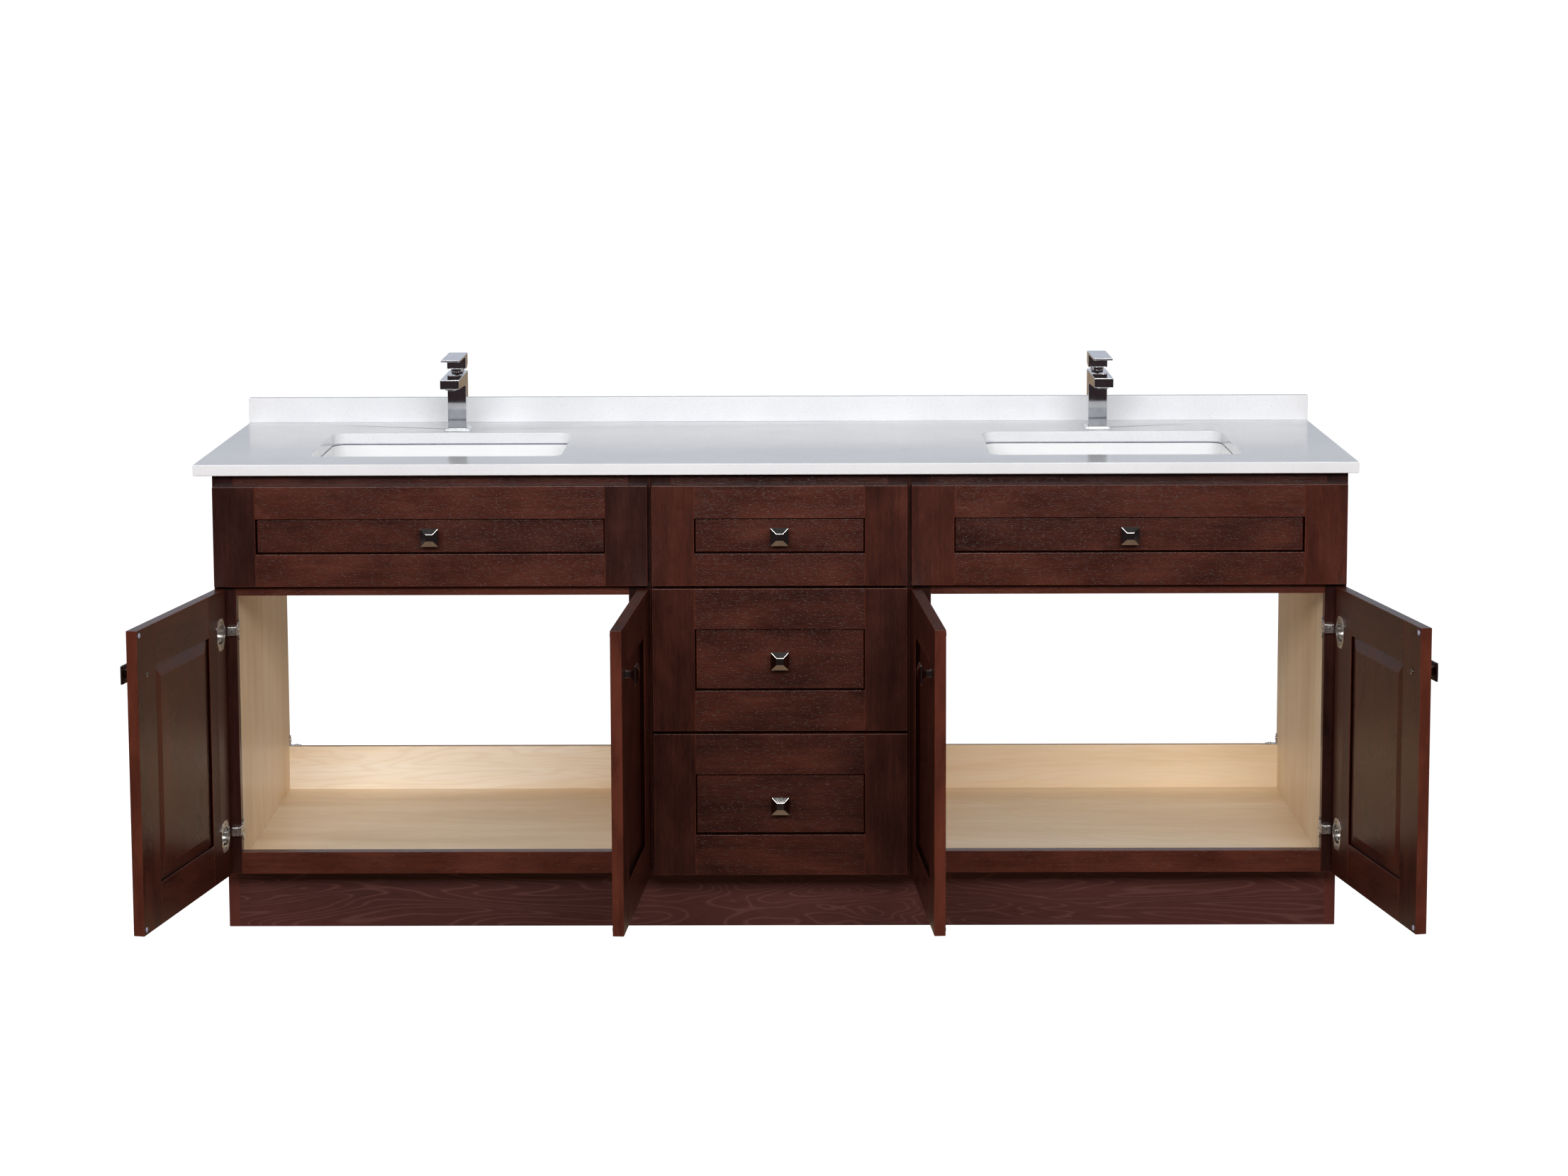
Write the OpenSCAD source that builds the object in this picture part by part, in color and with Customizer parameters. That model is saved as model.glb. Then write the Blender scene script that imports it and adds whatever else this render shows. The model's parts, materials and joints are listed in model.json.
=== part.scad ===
// Double-sink bathroom vanity: two sink cabinets either side of a three-drawer cabinet,
// under one stone top. Millimetres, +Z up, floor at z = 0, wall plane at y = 0, front faces -Y.

/* [Overall] */
// Width of each sink cabinet at its face frame
sink_cab_w = 764; // [600:1:900]
// Width of the drawer cabinet at its face frame
drawer_cab_w = 453; // [300:1:610]
// Height of the cabinets, floor to the underside of the top
cab_h = 830; // [760:1:900]
// Depth from the wall to the front of the face frames
cab_d = 550; // [480:1:610]

/* [Case] */
// Thickness of the side panels
side_t = 19; // [12:0.5:22]
// How far each side panel is set in from the edge of its face frame
side_inset = 15; // [0:1:20]
// Thickness of the cabinet floors
floor_t = 12.6; // [9:0.1:19]
// Height of the top surface of the cabinet floors
floor_z = 133; // [120:1:150]
// Thickness of the back rails and the drawer cabinet's back
back_t = 13; // [9:0.5:19]
// Height of the low back rails
low_rail_h = 84; // [60:1:120]
// Height of the hanging rails under the top
hang_rail_h = 88; // [60:1:120]

/* [Toe kick] */
// Height of the toe space
toe_h = 116; // [90:1:130]
// How far the toe board is set back from the face frames
toe_recess = 68; // [50:1:90]
// Thickness of the toe board
toe_t = 6; // [4:0.5:12]

/* [Face frames] */
// Thickness of the face frames
frame_t = 19; // [16:0.5:22]
// Width of the stiles and top rails
stile_w = 38; // [32:1:50]
// Height of the bottom edge of the rail under the top row of fronts
mid_rail_z = 615; // [580:1:640]
// Height of the bottom edge of the rail between the two deep drawers
low_rail_z = 354; // [330:1:380]
// Height of the bottom rails
bottom_rail_h = 39; // [30:1:50]

/* [Fronts] */
// Thickness of the doors and drawer fronts
front_t = 19; // [16:0.5:22]
// Gap behind the closed doors and drawers, set by the bumpers
bump_gap = 1.6; // [1.2:0.1:3]
// Reveal at the two ends of the vanity
end_gap = 3; // [2:0.5:8]
// Reveal each side of a seam between two cabinets
seam_gap = 3.75; // [2:0.25:8]
// Gap between the two doors of a pair
pair_gap = 3; // [2:0.5:6]
// Top of the upper row of fronts
row1_top = 810; // [790:1:820]
// Bottom of the upper row of fronts
row1_bot = 634; // [600:1:660]
// Top of the doors and of the middle drawer
row2_top = 629; // [600:1:650]
// Bottom of the middle drawer
row2_bot = 376; // [340:1:400]
// Top of the bottom drawer
row3_top = 370.5; // [330:0.5:390]
// Bottom of the doors and of the bottom drawer
row3_bot = 118; // [100:1:140]
// Width of the stiles of doors and drawer fronts
member_w = 74; // [50:1:90]
// Height of the rails of the upper row of fronts
slim_rail = 57; // [45:1:70]
// Height of the rails of doors and deep drawers
deep_rail = 72; // [50:1:90]
// How far the flat panels are recessed behind their frames
panel_recess = 8; // [5:0.5:10]
// Thickness of the panel tongue
panel_t = 6; // [4:0.5:8]
// Depth of the groove that holds each panel
groove_d = 10; // [6:0.5:12]
// Width of the bevel round the raised back of each door panel
bevel_w = 20; // [10:1:30]

/* [Doors] */
// How far each hinge axis is set in from the hinge edge
axis_in = 3; // [2:0.5:6]
// How far each hinge axis is in front of the face frame
axis_out = 16; // [12:0.5:20]
// How far the outer doors stand open
outer_open = 101.5; // [0:0.5:102]
// How far the inner doors stand open
inner_open = 86; // [0:0.5:102]
// Distance from a door's ends to its hinge centres
hinge_end = 76; // [60:1:100]
// Radius of the hinge cups
cup_r = 17.5; // [13:0.5:20]
// Depth of the hinge cups
cup_d = 11; // [9:0.5:12.5]
// Distance from the hinge edge to the centre of each cup
cup_in = 22.5; // [20:0.5:26]

/* [Knobs] */
// Side of the square knob face
knob_w = 31.75; // [25:0.25:40]
// Projection of the knobs
knob_h = 25; // [18:0.5:35]
// Distance from a door's free edge to its knob
knob_in = 37; // [25:1:50]
// Distance from a door's top to its knob
knob_down = 79; // [50:1:120]

/* [Drawers] */
// Depth of the drawer boxes
box_d = 457; // [350:1:500]
// Thickness of the drawer box sides
box_t = 12.7; // [9:0.1:16]
// Thickness of the drawer bottoms
box_floor_t = 6; // [4:0.5:10]
// Room each side of a drawer box for its runner
runner_room = 13; // [12.7:0.1:14]
// Height of the runners
runner_h = 42; // [30:1:50]
// Height of the top drawer box
box1_h = 98; // [70:1:120]
// Height of the middle drawer box
box2_h = 168; // [120:1:200]
// Height of the bottom drawer box
box3_h = 150; // [120:1:180]

/* [Top] */
// Thickness of the stone top
top_t = 20; // [12:1:40]
// Overhang past the left end
top_over_l = 29; // [0:1:40]
// Overhang past the right end
top_over_r = 15; // [0:1:40]
// Overhang past the face frames
top_over_f = 22.5; // [10:0.5:40]
// Height of the backsplash
splash_h = 48; // [40:1:110]
// Thickness of the backsplash
splash_t = 14; // [12:1:25]

/* [Sinks] */
// Half the distance between the two sink centres
sink_x = 603; // [500:1:700]
// How far the sinks and taps sit to the left of the cabinets' centre
sink_shift = 7; // [0:1:15]
// Width of each cut-out
bowl_w = 446; // [350:1:500]
// Depth of each cut-out, front to back
bowl_l = 306; // [250:1:350]
// Distance from the wall to the back of each cut-out
bowl_back = 168; // [120:1:220]
// Corner radius of each cut-out
bowl_r = 24; // [10:1:60]
// Inside depth of each bowl below the top's underside
bowl_deep = 140; // [100:1:180]
// Wall thickness of the bowls
bowl_t = 10; // [7:0.5:14]
// Width of the sink rim under the top
sink_lip = 14; // [10:1:30]
// Radius of the drain hole
drain_r = 22.25; // [20:0.25:30]

/* [Taps] */
// Half the distance between the two taps
tap_x = 598.5; // [500:0.5:700]
// Distance from the wall to the centre of each tap
tap_y = 132; // [100:1:160]
// Side of the square base
tap_base = 48; // [40:1:60]
// Side of the square column
tap_w = 35; // [28:1:45]
// Height of the column above the top
tap_h = 112; // [90:1:140]
// Reach of the spout from the column's centre
spout_reach = 135; // [100:1:160]
// Height of the spout's front end
spout_h = 17.5; // [12:0.5:25]
// Overall height of the lever above the top
lever_top = 145.5; // [120:0.5:180]
// Radius of the hole for each tap
tap_hole_r = 17; // [15:0.5:20]

/* [Hidden] */
$fn = 48;

total_w = 2 * sink_cab_w + drawer_cab_w;
half_w = total_w / 2;
seam_x = drawer_cab_w / 2;
face_y = -cab_d;
case_y = face_y + frame_t;
door_w = (sink_cab_w - end_gap - seam_gap - pair_gap) / 2;
door_h = row2_top - row3_bot;
back_y = face_y - bump_gap;
open_w = drawer_cab_w - 2 * stile_w;
box_w = open_w - 2 * runner_room;
false_w = sink_cab_w - end_gap - seam_gap;
false_x = half_w - end_gap - false_w / 2;
top_z = cab_h + top_t;
bowl_y = -bowl_back - bowl_l / 2;
hinge_zs = [row3_bot + hinge_end, row2_top - hinge_end];
bore_play = 0.05;
cup_screw = 23;
glue = 0.1;

wood = [0.27, 0.12, 0.1];
maple = [0.84, 0.73, 0.58];
nickel = [0.6, 0.6, 0.62];
chrome = [0.75, 0.76, 0.79];
stone = [0.92, 0.92, 0.93];
glaze = [0.97, 0.97, 0.97];

// A block between two opposite corners
module block(a, b) { translate(a) cube(b - a); }

// An upright cylinder
module post(x, y, z0, z1, r) { translate([x, y, z0]) cylinder(h = z1 - z0, r = r); }

// A cylinder lying along Y
module rod(x, z, y0, y1, r) { translate([x, y1, z]) rotate([90, 0, 0]) cylinder(h = y1 - y0, r = r); }

// A rectangle with round corners, centred
module round_rect(w, l, r) {
  square([w - 2 * r, l], center = true);
  square([w, l - 2 * r], center = true);
  for (x = [-1, 1], y = [-1, 1]) translate([x * (w / 2 - r), y * (l / 2 - r)]) circle(r = r);
}

module both() { children(); mirror([1, 0, 0]) children(); }

// ---- framed fronts, drawn with the lower left back corner at the origin, front towards -Y ----

// A frame of two stiles and two rails, grooved for the panel
module front_frame(w, h, rail, knob_x = -1, knob_z = 0, cups = []) {
  groove_y = -front_t + panel_recess;
  for (s = [0, 1]) difference() {
    block([s * (w - member_w), -front_t, 0], [s * (w - member_w) + member_w, 0, h]);
    block([s ? w - member_w - 1 : member_w - groove_d, groove_y, -1],
      [s ? w - member_w + groove_d : member_w + 1, groove_y + panel_t, h + 1]);
    if (s && knob_x > 0) rod(knob_x, knob_z, -front_t - 1, 1, 2.5);
    if (!s) for (z = cups) {
      rod(cup_in, z, -cup_d - 0.1, 1, cup_r + 0.1);
      for (t = [-1, 1]) rod(cup_in, z + t * cup_screw, -9.1, 1, 3.5);
    }
  }
  for (s = [0, 1]) difference() {
    union() {
      block([member_w + glue, -front_t, s * (h - rail)], [w - member_w - glue, 0, s * (h - rail) + rail]);
      block([member_w - groove_d + glue, groove_y + glue, s * (h - rail)],
        [w - member_w + groove_d - glue, groove_y + panel_t - glue, s * (h - rail) + rail]);
    }
    block([0, groove_y, s ? h - rail - 1 : rail - groove_d],
      [w, groove_y + panel_t, s ? h - rail + groove_d : rail + 1]);
  }
}

// The flat panel, with an optional raised and bevelled back and an optional screw hole
module front_panel(w, h, rail, raised = false, hole = false) {
  edge = groove_d - 1;
  y0 = -front_t + panel_recess + 0.15;
  y1 = y0 + panel_t - 0.3;
  x0 = member_w - edge;
  z0 = rail - edge;
  difference() {
    union() {
      block([x0, y0, z0], [w - x0, y1, h - z0]);
      if (raised) hull() {
        inner = member_w + 1.5;
        low = rail + 1.5;
        block([inner, y1 - 1, low], [w - inner, y1, h - low]);
        block([inner + bevel_w, y1 - 1, low + bevel_w], [w - inner - bevel_w, -0.8, h - low - bevel_w]);
      }
    }
    if (hole) rod(w / 2, h / 2, y0 - 1, y1 + 1, 2.5);
  }
}

// A square knob pointing along -Y from a face at y = 0, with its screw reaching back through the wood
module knob(grip) {
  stem = 6.5;
  rim = knob_w / 2;
  tip = knob_w * 0.19;
  neck_h = knob_h * 0.68;
  rim_h = knob_h * 0.82;
  block([-stem, -neck_h, -stem], [stem, 0, stem]);
  block([-rim, -rim_h, -rim], [rim, -neck_h, rim]);
  hull() {
    block([-rim, -rim_h, -rim], [rim, -rim_h + 0.1, rim]);
    block([-tip, -knob_h, -tip], [tip, -knob_h + 0.1, tip]);
  }
  rod(0, 0, -1, grip + 1, 2);
  rod(0, 0, grip, grip + 2, 4.5);
}

// ---- doors ----

// Places a closed door's parts, drawn with the hinge edge at x = 0, and swings them open
module hang(edge_x, side, angle) {
  translate([edge_x, back_y, row3_bot]) mirror([side < 0 ? 1 : 0, 0, 0])
    translate([axis_in, -axis_out + bump_gap, 0]) rotate([0, 0, -angle])
      translate([-axis_in, axis_out - bump_gap, 0]) children();
}

// Doors 1 to 4 from left to right
module door(n) {
  if (n == 1) hang(-half_w + end_gap, 1, outer_open) children();
  if (n == 2) hang(-seam_x - seam_gap, -1, inner_open) children();
  if (n == 3) hang(seam_x + seam_gap, 1, inner_open) children();
  if (n == 4) hang(half_w - end_gap, -1, outer_open) children();
}

module door_frame() {
  front_frame(door_w, door_h, deep_rail, door_w - knob_in, door_h - knob_down,
    [hinge_end, door_h - hinge_end]);
}

module door_knob() {
  translate([door_w - knob_in, -front_t, door_h - knob_down]) knob(front_t);
}

// The cup of each hinge, sunk in the back of the door, with its screw wings and the tongue at its edge
module door_cups() {
  wing = 28;
  for (z = [hinge_end, door_h - hinge_end]) {
    difference() {
      union() {
        rod(cup_in, z, -cup_d, 1, cup_r);
        block([cup_in - 8, 0, z - wing], [cup_in + 8, 1, z + wing]);
        block([axis_in - 2, 0, z - 8], [cup_in - 12, 1, z + 8]);
      }
      rod(cup_in, z, -cup_d + 1, 2, cup_r - 1);
    }
    for (s = [-1, 1]) rod(cup_in, z + s * cup_screw, -9, 1.35, 3.4);
  }
}

// Clear bumpers at the two back corners of the free edge
module door_bumpers() {
  for (z = [9, door_h - 9]) rod(door_w - 10, z, 0, bump_gap - 0.1, 4.5);
}

// The frame half of each hinge: a plate on the stile's inner edge and an arm over its face
module hinge_plate(z) {
  t = 1.5;
  arm = 8;
  out = 9.5;
  block([stile_w, face_y + 1, z - 14], [stile_w + t, case_y - 1, z + 14]);
  block([stile_w, face_y + 6, z - 19], [stile_w + t, case_y - 5, z + 19]);
  block([stile_w, face_y - out, z - arm], [stile_w + t, face_y + 1.5, z + arm]);
  block([stile_w - 16, face_y - out, z - arm], [stile_w + 0.5, face_y - 0.2, z + arm]);
  translate([stile_w + t - 0.5, face_y + 10, z]) rotate([0, 90, 0]) cylinder(h = 2, r = 4);
}

module hinge_plates() {
  for (z = hinge_zs) {
    both() translate([-half_w, 0, 0]) hinge_plate(z);
    both() translate([seam_x, 0, 0]) hinge_plate(z);
  }
}

// ---- drawers ----

// Places a drawer's parts, drawn with the front's lower left back corner at the origin
module drawer(z) { translate([-seam_x + seam_gap, back_y, z]) children(); }
drawer_w = drawer_cab_w - 2 * seam_gap;

module drawer_front(h, rail) {
  front_frame(drawer_w, h, rail);
  front_panel(drawer_w, h, rail, hole = true);
}

// A box of five boards; lift is its height above the front's lower edge
module drawer_box(h, lift, knob_z) {
  x0 = (drawer_w - box_w) / 2;
  x1 = x0 + box_w;
  groove = 5;
  floor_at = lift + 10;
  for (s = [0, 1]) difference() {
    block([s ? x1 - box_t : x0, 0, lift], [s ? x1 : x0 + box_t, box_d, lift + h]);
    block([s ? x1 - box_t - 1 : x0 + box_t - groove, -1, floor_at],
      [s ? x1 - box_t + groove : x0 + box_t + 1, box_d + 1, floor_at + box_floor_t]);
  }
  difference() {
    block([x0 + box_t + glue, 0, lift], [x1 - box_t - glue, box_t, lift + h]);
    block([x0, box_t - groove, floor_at], [x1, box_t + 1, floor_at + box_floor_t]);
    rod(drawer_w / 2, knob_z, -1, box_t + 1, 2.5);
  }
  block([x0 + box_t + glue, box_d - box_t, floor_at + box_floor_t], [x1 - box_t - glue, box_d, lift + h]);
  block([x0 + box_t - groove + 0.5, box_t - groove + 0.5, floor_at + 0.1],
    [x1 - box_t + groove - 0.5, box_d, floor_at + box_floor_t - 0.1]);
}

// The knob and its screw, through the front's panel and the box
module drawer_knob(knob_z) {
  translate([drawer_w / 2, -front_t + panel_recess + 0.15, knob_z])
    knob(front_t - panel_recess - 0.15 + box_t);
}

// The sliding member on each side of a drawer box: a channel open towards the case
module drawer_runners(lift) {
  for (s = [0, 1]) translate([s ? (drawer_w + box_w) / 2 : (drawer_w - box_w) / 2, 0, lift])
    mirror([s ? 0 : 1, 0, 0]) difference() {
      block([0, 2, 0], [6, box_d, runner_h]);
      block([2, 1, 7], [7, box_d + 1, runner_h - 7]);
    }
}

// Each row's lower edge, height, rail height, box height and box lift, from the top drawer down
rows = [row1_bot, row2_bot, row3_bot];
front_hs = [row1_top - row1_bot, row2_top - row2_bot, row3_top - row3_bot];
front_rails = [slim_rail, deep_rail, deep_rail];
box_hs = [box1_h, box2_h, box3_h];
lifts = [28, 26, 44];
runner_lifts = [lifts[0] + 24, lifts[1] + 56, lifts[2] + 50];

// The fixed channels in the drawer cabinet, on spacers against the case sides
module case_runners() {
  side_in = seam_x - side_inset - side_t;
  for (i = [0:2]) both() {
    z = rows[i] + runner_lifts[i];
    difference() {
      block([box_w / 2 + 6.5, face_y + 6, z], [open_w / 2, back_y + box_d + 4, z + runner_h]);
      block([box_w / 2 + 5.5, face_y + 5, z + 7], [open_w / 2 - 2, back_y + box_d + 5, z + runner_h - 7]);
    }
    block([open_w / 2, case_y + 30, z + 4], [side_in, case_y + 60, z + runner_h - 4]);
    block([open_w / 2, -back_t - 50, z + 4], [side_in, -back_t - 20, z + runner_h - 4]);
  }
}

// ---- cabinets ----

// A side panel with its toe notch, standing on x = 0 and reaching to x = side_t
module side_panel() {
  notch_y = face_y + toe_recess + toe_t;
  rotate([90, 0, 90]) linear_extrude(side_t)
    polygon([[notch_y, 0], [0, 0], [0, cab_h], [case_y, cab_h], [case_y, toe_h], [notch_y, toe_h]]);
}

module sink_case_sides() {
  both() {
    translate([-half_w + side_inset, 0, 0]) side_panel();
    translate([-seam_x - side_inset - side_t, 0, 0]) side_panel();
  }
}

inner_l = -half_w + side_inset + side_t;
inner_r = -seam_x - side_inset - side_t;

module sink_case_floors() {
  both() block([inner_l, case_y, floor_z - floor_t], [inner_r, 0, floor_z]);
}

module sink_case_rails() {
  both() {
    block([inner_l, -back_t, floor_z], [inner_r, 0, floor_z + low_rail_h]);
    block([inner_l, -back_t, cab_h - hang_rail_h], [inner_r, 0, cab_h]);
  }
}

// Steel angles on top of each low back rail, screwed to the side panels
module corner_brackets() {
  leg = 22;
  t = 2;
  wide = back_t - 1;
  z = floor_z + low_rail_h;
  both() for (s = [0, 1]) translate([s ? inner_r : inner_l, -back_t, z]) mirror([s, 0, 0]) {
    block([0, 0, 0], [leg, wide, t]);
    block([0, 0, 0], [t, wide, 20]);
    post(14, wide / 2, t - 0.5, t + 1.5, 3.2);
    translate([t - 0.5, wide / 2, 12]) rotate([0, 90, 0]) cylinder(h = 2, r = 3.2);
  }
}

// Stiles and rails between x0 and x1, with rails at the given heights
module face_frame(x0, x1, rails) {
  block([x0, face_y, toe_h], [x0 + stile_w, case_y, cab_h]);
  block([x1 - stile_w, face_y, toe_h], [x1, case_y, cab_h]);
  for (r = rails)
    block([x0 + stile_w + glue, face_y, r[0]], [x1 - stile_w - glue, case_y, r[0] + r[1]]);
}

sink_rails = [[toe_h, bottom_rail_h], [mid_rail_z, stile_w], [cab_h - stile_w, stile_w]];
drawer_rails = concat(sink_rails, [[low_rail_z, stile_w]]);

// A fixed front over each sink
module false_front() {
  translate([-false_x - false_w / 2, face_y, row1_bot]) {
    front_frame(false_w, row1_top - row1_bot, slim_rail);
    front_panel(false_w, row1_top - row1_bot, slim_rail, hole = true);
  }
}

module false_front_knobs() {
  grip = panel_t - 0.3;
  for (s = [-1, 1]) translate([s * false_x, face_y - front_t + panel_recess + 0.15,
    (row1_top + row1_bot) / 2]) knob(grip);
}

module drawer_case() {
  both() translate([-seam_x + side_inset, 0, 0]) side_panel();
  in_x = seam_x - side_inset - side_t;
  block([-in_x + glue, case_y, floor_z - floor_t], [in_x - glue, -back_t, floor_z]);
}

module drawer_case_back() {
  in_x = seam_x - side_inset - side_t;
  block([-in_x, -back_t, 0], [in_x, 0, cab_h]);
}

module toe_kick() {
  block([-half_w, face_y + toe_recess, 0], [half_w, face_y + toe_recess + toe_t, toe_h]);
}

// ---- top, sinks and taps ----

module at_sinks() { for (s = [-1, 1]) translate([s * sink_x - sink_shift, 0, 0]) children(); }

module at_tap(s) { translate([s * tap_x - sink_shift, -tap_y, 0]) children(); }

module countertop() {
  difference() {
    block([-half_w - top_over_l, face_y - top_over_f, cab_h], [half_w + top_over_r, 0, top_z]);
    at_sinks() translate([0, bowl_y, cab_h - 1]) linear_extrude(top_t + 2) round_rect(bowl_w, bowl_l, bowl_r);
    for (s = [-1, 1]) at_tap(s) post(0, 0, cab_h - 1, top_z + 1, tap_hole_r);
  }
}

module backsplash() {
  block([-half_w - top_over_l, -splash_t, top_z], [half_w + top_over_r, 0, top_z + splash_h]);
}

// An undermount bowl: rim, walls, floor and drain hole
module sink() {
  translate([0, bowl_y, 0]) difference() {
    union() {
      translate([0, 0, cab_h - 12]) linear_extrude(12)
        round_rect(bowl_w + 2 * sink_lip, bowl_l + 2 * sink_lip, bowl_r + 4);
      translate([0, 0, cab_h - bowl_deep - bowl_t]) linear_extrude(bowl_deep + bowl_t - 1)
        round_rect(bowl_w + 2 * bowl_t, bowl_l + 2 * bowl_t, bowl_r + bowl_t);
      post(0, 0, cab_h - bowl_deep - 2 * bowl_t, cab_h - bowl_deep - 1, 38);
    }
    translate([0, 0, cab_h - bowl_deep]) linear_extrude(bowl_deep + 1) round_rect(bowl_w, bowl_l, bowl_r);
    post(0, 0, cab_h - bowl_deep - 3 * bowl_t, cab_h, drain_r);
  }
}

// Clips that hold each sink rim up against the top
module sink_clips() {
  at_sinks() translate([0, bowl_y, 0]) for (s = [-1, 1], y = [-95, 95]) mirror([s < 0 ? 1 : 0, 0, 0]) {
    edge = bowl_w / 2 + sink_lip;
    block([edge + 1, y - 10, cab_h - 12], [edge + 16, y + 10, cab_h]);
    block([edge - 3, y - 10, cab_h - 15], [edge + 16, y + 10, cab_h - 12]);
    post(edge + 9, y, cab_h - 20, cab_h - 14.5, 5);
  }
}

// Base, column and spout in one casting, bored for the valve stem
module tap_body() {
  reach_y = -spout_reach;
  top = top_z + tap_h;
  difference() {
    union() {
      block([-tap_base / 2, -tap_base / 2, top_z], [tap_base / 2, tap_base / 2, top_z + 4]);
      block([-tap_base / 2 + 2, -tap_base / 2 + 2, top_z + 3.5],
        [tap_base / 2 - 2, tap_base / 2 - 2, top_z + 6.5]);
      block([-tap_w / 2, -tap_w / 2, top_z + 6], [tap_w / 2, tap_w / 2, top]);
      translate([-tap_w / 2, 0, 0]) rotate([90, 0, 90]) linear_extrude(tap_w)
        polygon([[-tap_w / 2 + 1, top], [reach_y, top - 1], [reach_y, top - 1 - spout_h],
          [-tap_w / 2 + 1, top - 24]]);
      post(0, reach_y + 19, top - spout_h - 4.5, top - spout_h + 1, 11);
    }
    post(0, 0, top - 34, top + 1, 10 + bore_play);
  }
}

// The threaded tail through the top, with its washer and nut
module tap_shank() {
  post(0, 0, cab_h - 34, top_z, 15);
  post(0, 0, cab_h - 3, cab_h, 19);
  post(0, 0, cab_h - 14, cab_h - 2.5, 18);
}

// The valve stem that turns for warmth, with the cross pin that carries the lever
module tap_stem() {
  top = top_z + tap_h;
  post(0, 0, top - 33, top + 1, 10);
  post(0, 0, top + 0.4, top + 5, 12.5);
  block([-4, -4, top + 4], [4, 4, top + 22]);
  translate([-12, 0, top + 18]) rotate([0, 90, 0]) cylinder(h = 24, r = 2);
}

// The lever: a block over the stem with a flat plate reaching forward
module tap_lever() {
  base = top_z + tap_h + 6;
  top = top_z + lever_top;
  back = tap_w / 2;
  difference() {
    translate([-tap_w / 2, 0, 0]) rotate([90, 0, 90]) linear_extrude(tap_w)
      polygon([[-back, base], [1, base], [back, base + 6.5], [back, top],
        [back - spout_reach, top], [back - spout_reach, top - 4], [-back, top - 4.5]]);
    block([-4.4, -9, base - 1], [4.4, 9, base + 19]);
    translate([-12.5, 0, top_z + tap_h + 18]) rotate([0, 90, 0]) cylinder(h = 25, r = 2 + bore_play);
  }
}

color(stone) countertop();
color(stone) backsplash();
color(glaze) translate([-sink_x - sink_shift, 0, 0]) sink();  // sink_left
color(glaze) translate([sink_x - sink_shift, 0, 0]) sink();  // sink_right
color(nickel) sink_clips();
color(maple) sink_case_sides();
color(maple) sink_case_floors();
color(maple) sink_case_rails();
color(nickel) corner_brackets();
color(wood) face_frame(-half_w, -seam_x, sink_rails);  // face_frame_left
color(wood) face_frame(seam_x, half_w, sink_rails);  // face_frame_right
color(wood) face_frame(-seam_x, seam_x, drawer_rails);  // face_frame_mid
color(wood) false_front();  // false_front_left
color(wood) mirror([1, 0, 0]) false_front();  // false_front_right
color(nickel) false_front_knobs();
color(maple) drawer_case();
color(maple) drawer_case_back();
color(nickel) case_runners();
color(wood) toe_kick();
color(nickel) hinge_plates();
color(wood) door(1) door_frame();  // door_1_frame
color(wood)  // door_1_panel
  door(1) front_panel(door_w, door_h, deep_rail, raised = true);
color(nickel) door(1) door_knob();  // door_1_knob
color(nickel) door(1) door_cups();  // door_1_cups
color([0.8, 0.8, 0.88]) door(1) door_bumpers();  // door_1_bumpers
color(wood) door(2) door_frame();  // door_2_frame
color(wood)  // door_2_panel
  door(2) front_panel(door_w, door_h, deep_rail, raised = true);
color(nickel) door(2) door_knob();  // door_2_knob
color(nickel) door(2) door_cups();  // door_2_cups
color([0.8, 0.8, 0.88]) door(2) door_bumpers();  // door_2_bumpers
color(wood) door(3) door_frame();  // door_3_frame
color(wood)  // door_3_panel
  door(3) front_panel(door_w, door_h, deep_rail, raised = true);
color(nickel) door(3) door_knob();  // door_3_knob
color(nickel) door(3) door_cups();  // door_3_cups
color([0.8, 0.8, 0.88]) door(3) door_bumpers();  // door_3_bumpers
color(wood) door(4) door_frame();  // door_4_frame
color(wood)  // door_4_panel
  door(4) front_panel(door_w, door_h, deep_rail, raised = true);
color(nickel) door(4) door_knob();  // door_4_knob
color(nickel) door(4) door_cups();  // door_4_cups
color([0.8, 0.8, 0.88]) door(4) door_bumpers();  // door_4_bumpers
color(wood)  // drawer_1_front
  drawer(rows[0]) drawer_front(front_hs[0], front_rails[0]);
color(maple)  // drawer_1_box
  drawer(rows[0]) drawer_box(box_hs[0], lifts[0], front_hs[0] / 2);
color(nickel)  // drawer_1_runners
  drawer(rows[0]) drawer_runners(runner_lifts[0]);
color(nickel) drawer(rows[0]) drawer_knob(front_hs[0] / 2);  // drawer_1_knob
color(wood)  // drawer_2_front
  drawer(rows[1]) drawer_front(front_hs[1], front_rails[1]);
color(maple)  // drawer_2_box
  drawer(rows[1]) drawer_box(box_hs[1], lifts[1], front_hs[1] / 2);
color(nickel)  // drawer_2_runners
  drawer(rows[1]) drawer_runners(runner_lifts[1]);
color(nickel) drawer(rows[1]) drawer_knob(front_hs[1] / 2);  // drawer_2_knob
color(wood)  // drawer_3_front
  drawer(rows[2]) drawer_front(front_hs[2], front_rails[2]);
color(maple)  // drawer_3_box
  drawer(rows[2]) drawer_box(box_hs[2], lifts[2], front_hs[2] / 2);
color(nickel)  // drawer_3_runners
  drawer(rows[2]) drawer_runners(runner_lifts[2]);
color(nickel) drawer(rows[2]) drawer_knob(front_hs[2] / 2);  // drawer_3_knob
color(chrome) at_tap(-1) tap_body();  // tap_left_body
color(nickel) at_tap(-1) tap_shank();  // tap_left_shank
color(chrome) at_tap(-1) tap_stem();  // tap_left_stem
color(chrome) at_tap(-1) tap_lever();  // tap_left_lever
color(chrome) at_tap(1) tap_body();  // tap_right_body
color(nickel) at_tap(1) tap_shank();  // tap_right_shank
color(chrome) at_tap(1) tap_stem();  // tap_right_stem
color(chrome) at_tap(1) tap_lever();  // tap_right_lever
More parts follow.
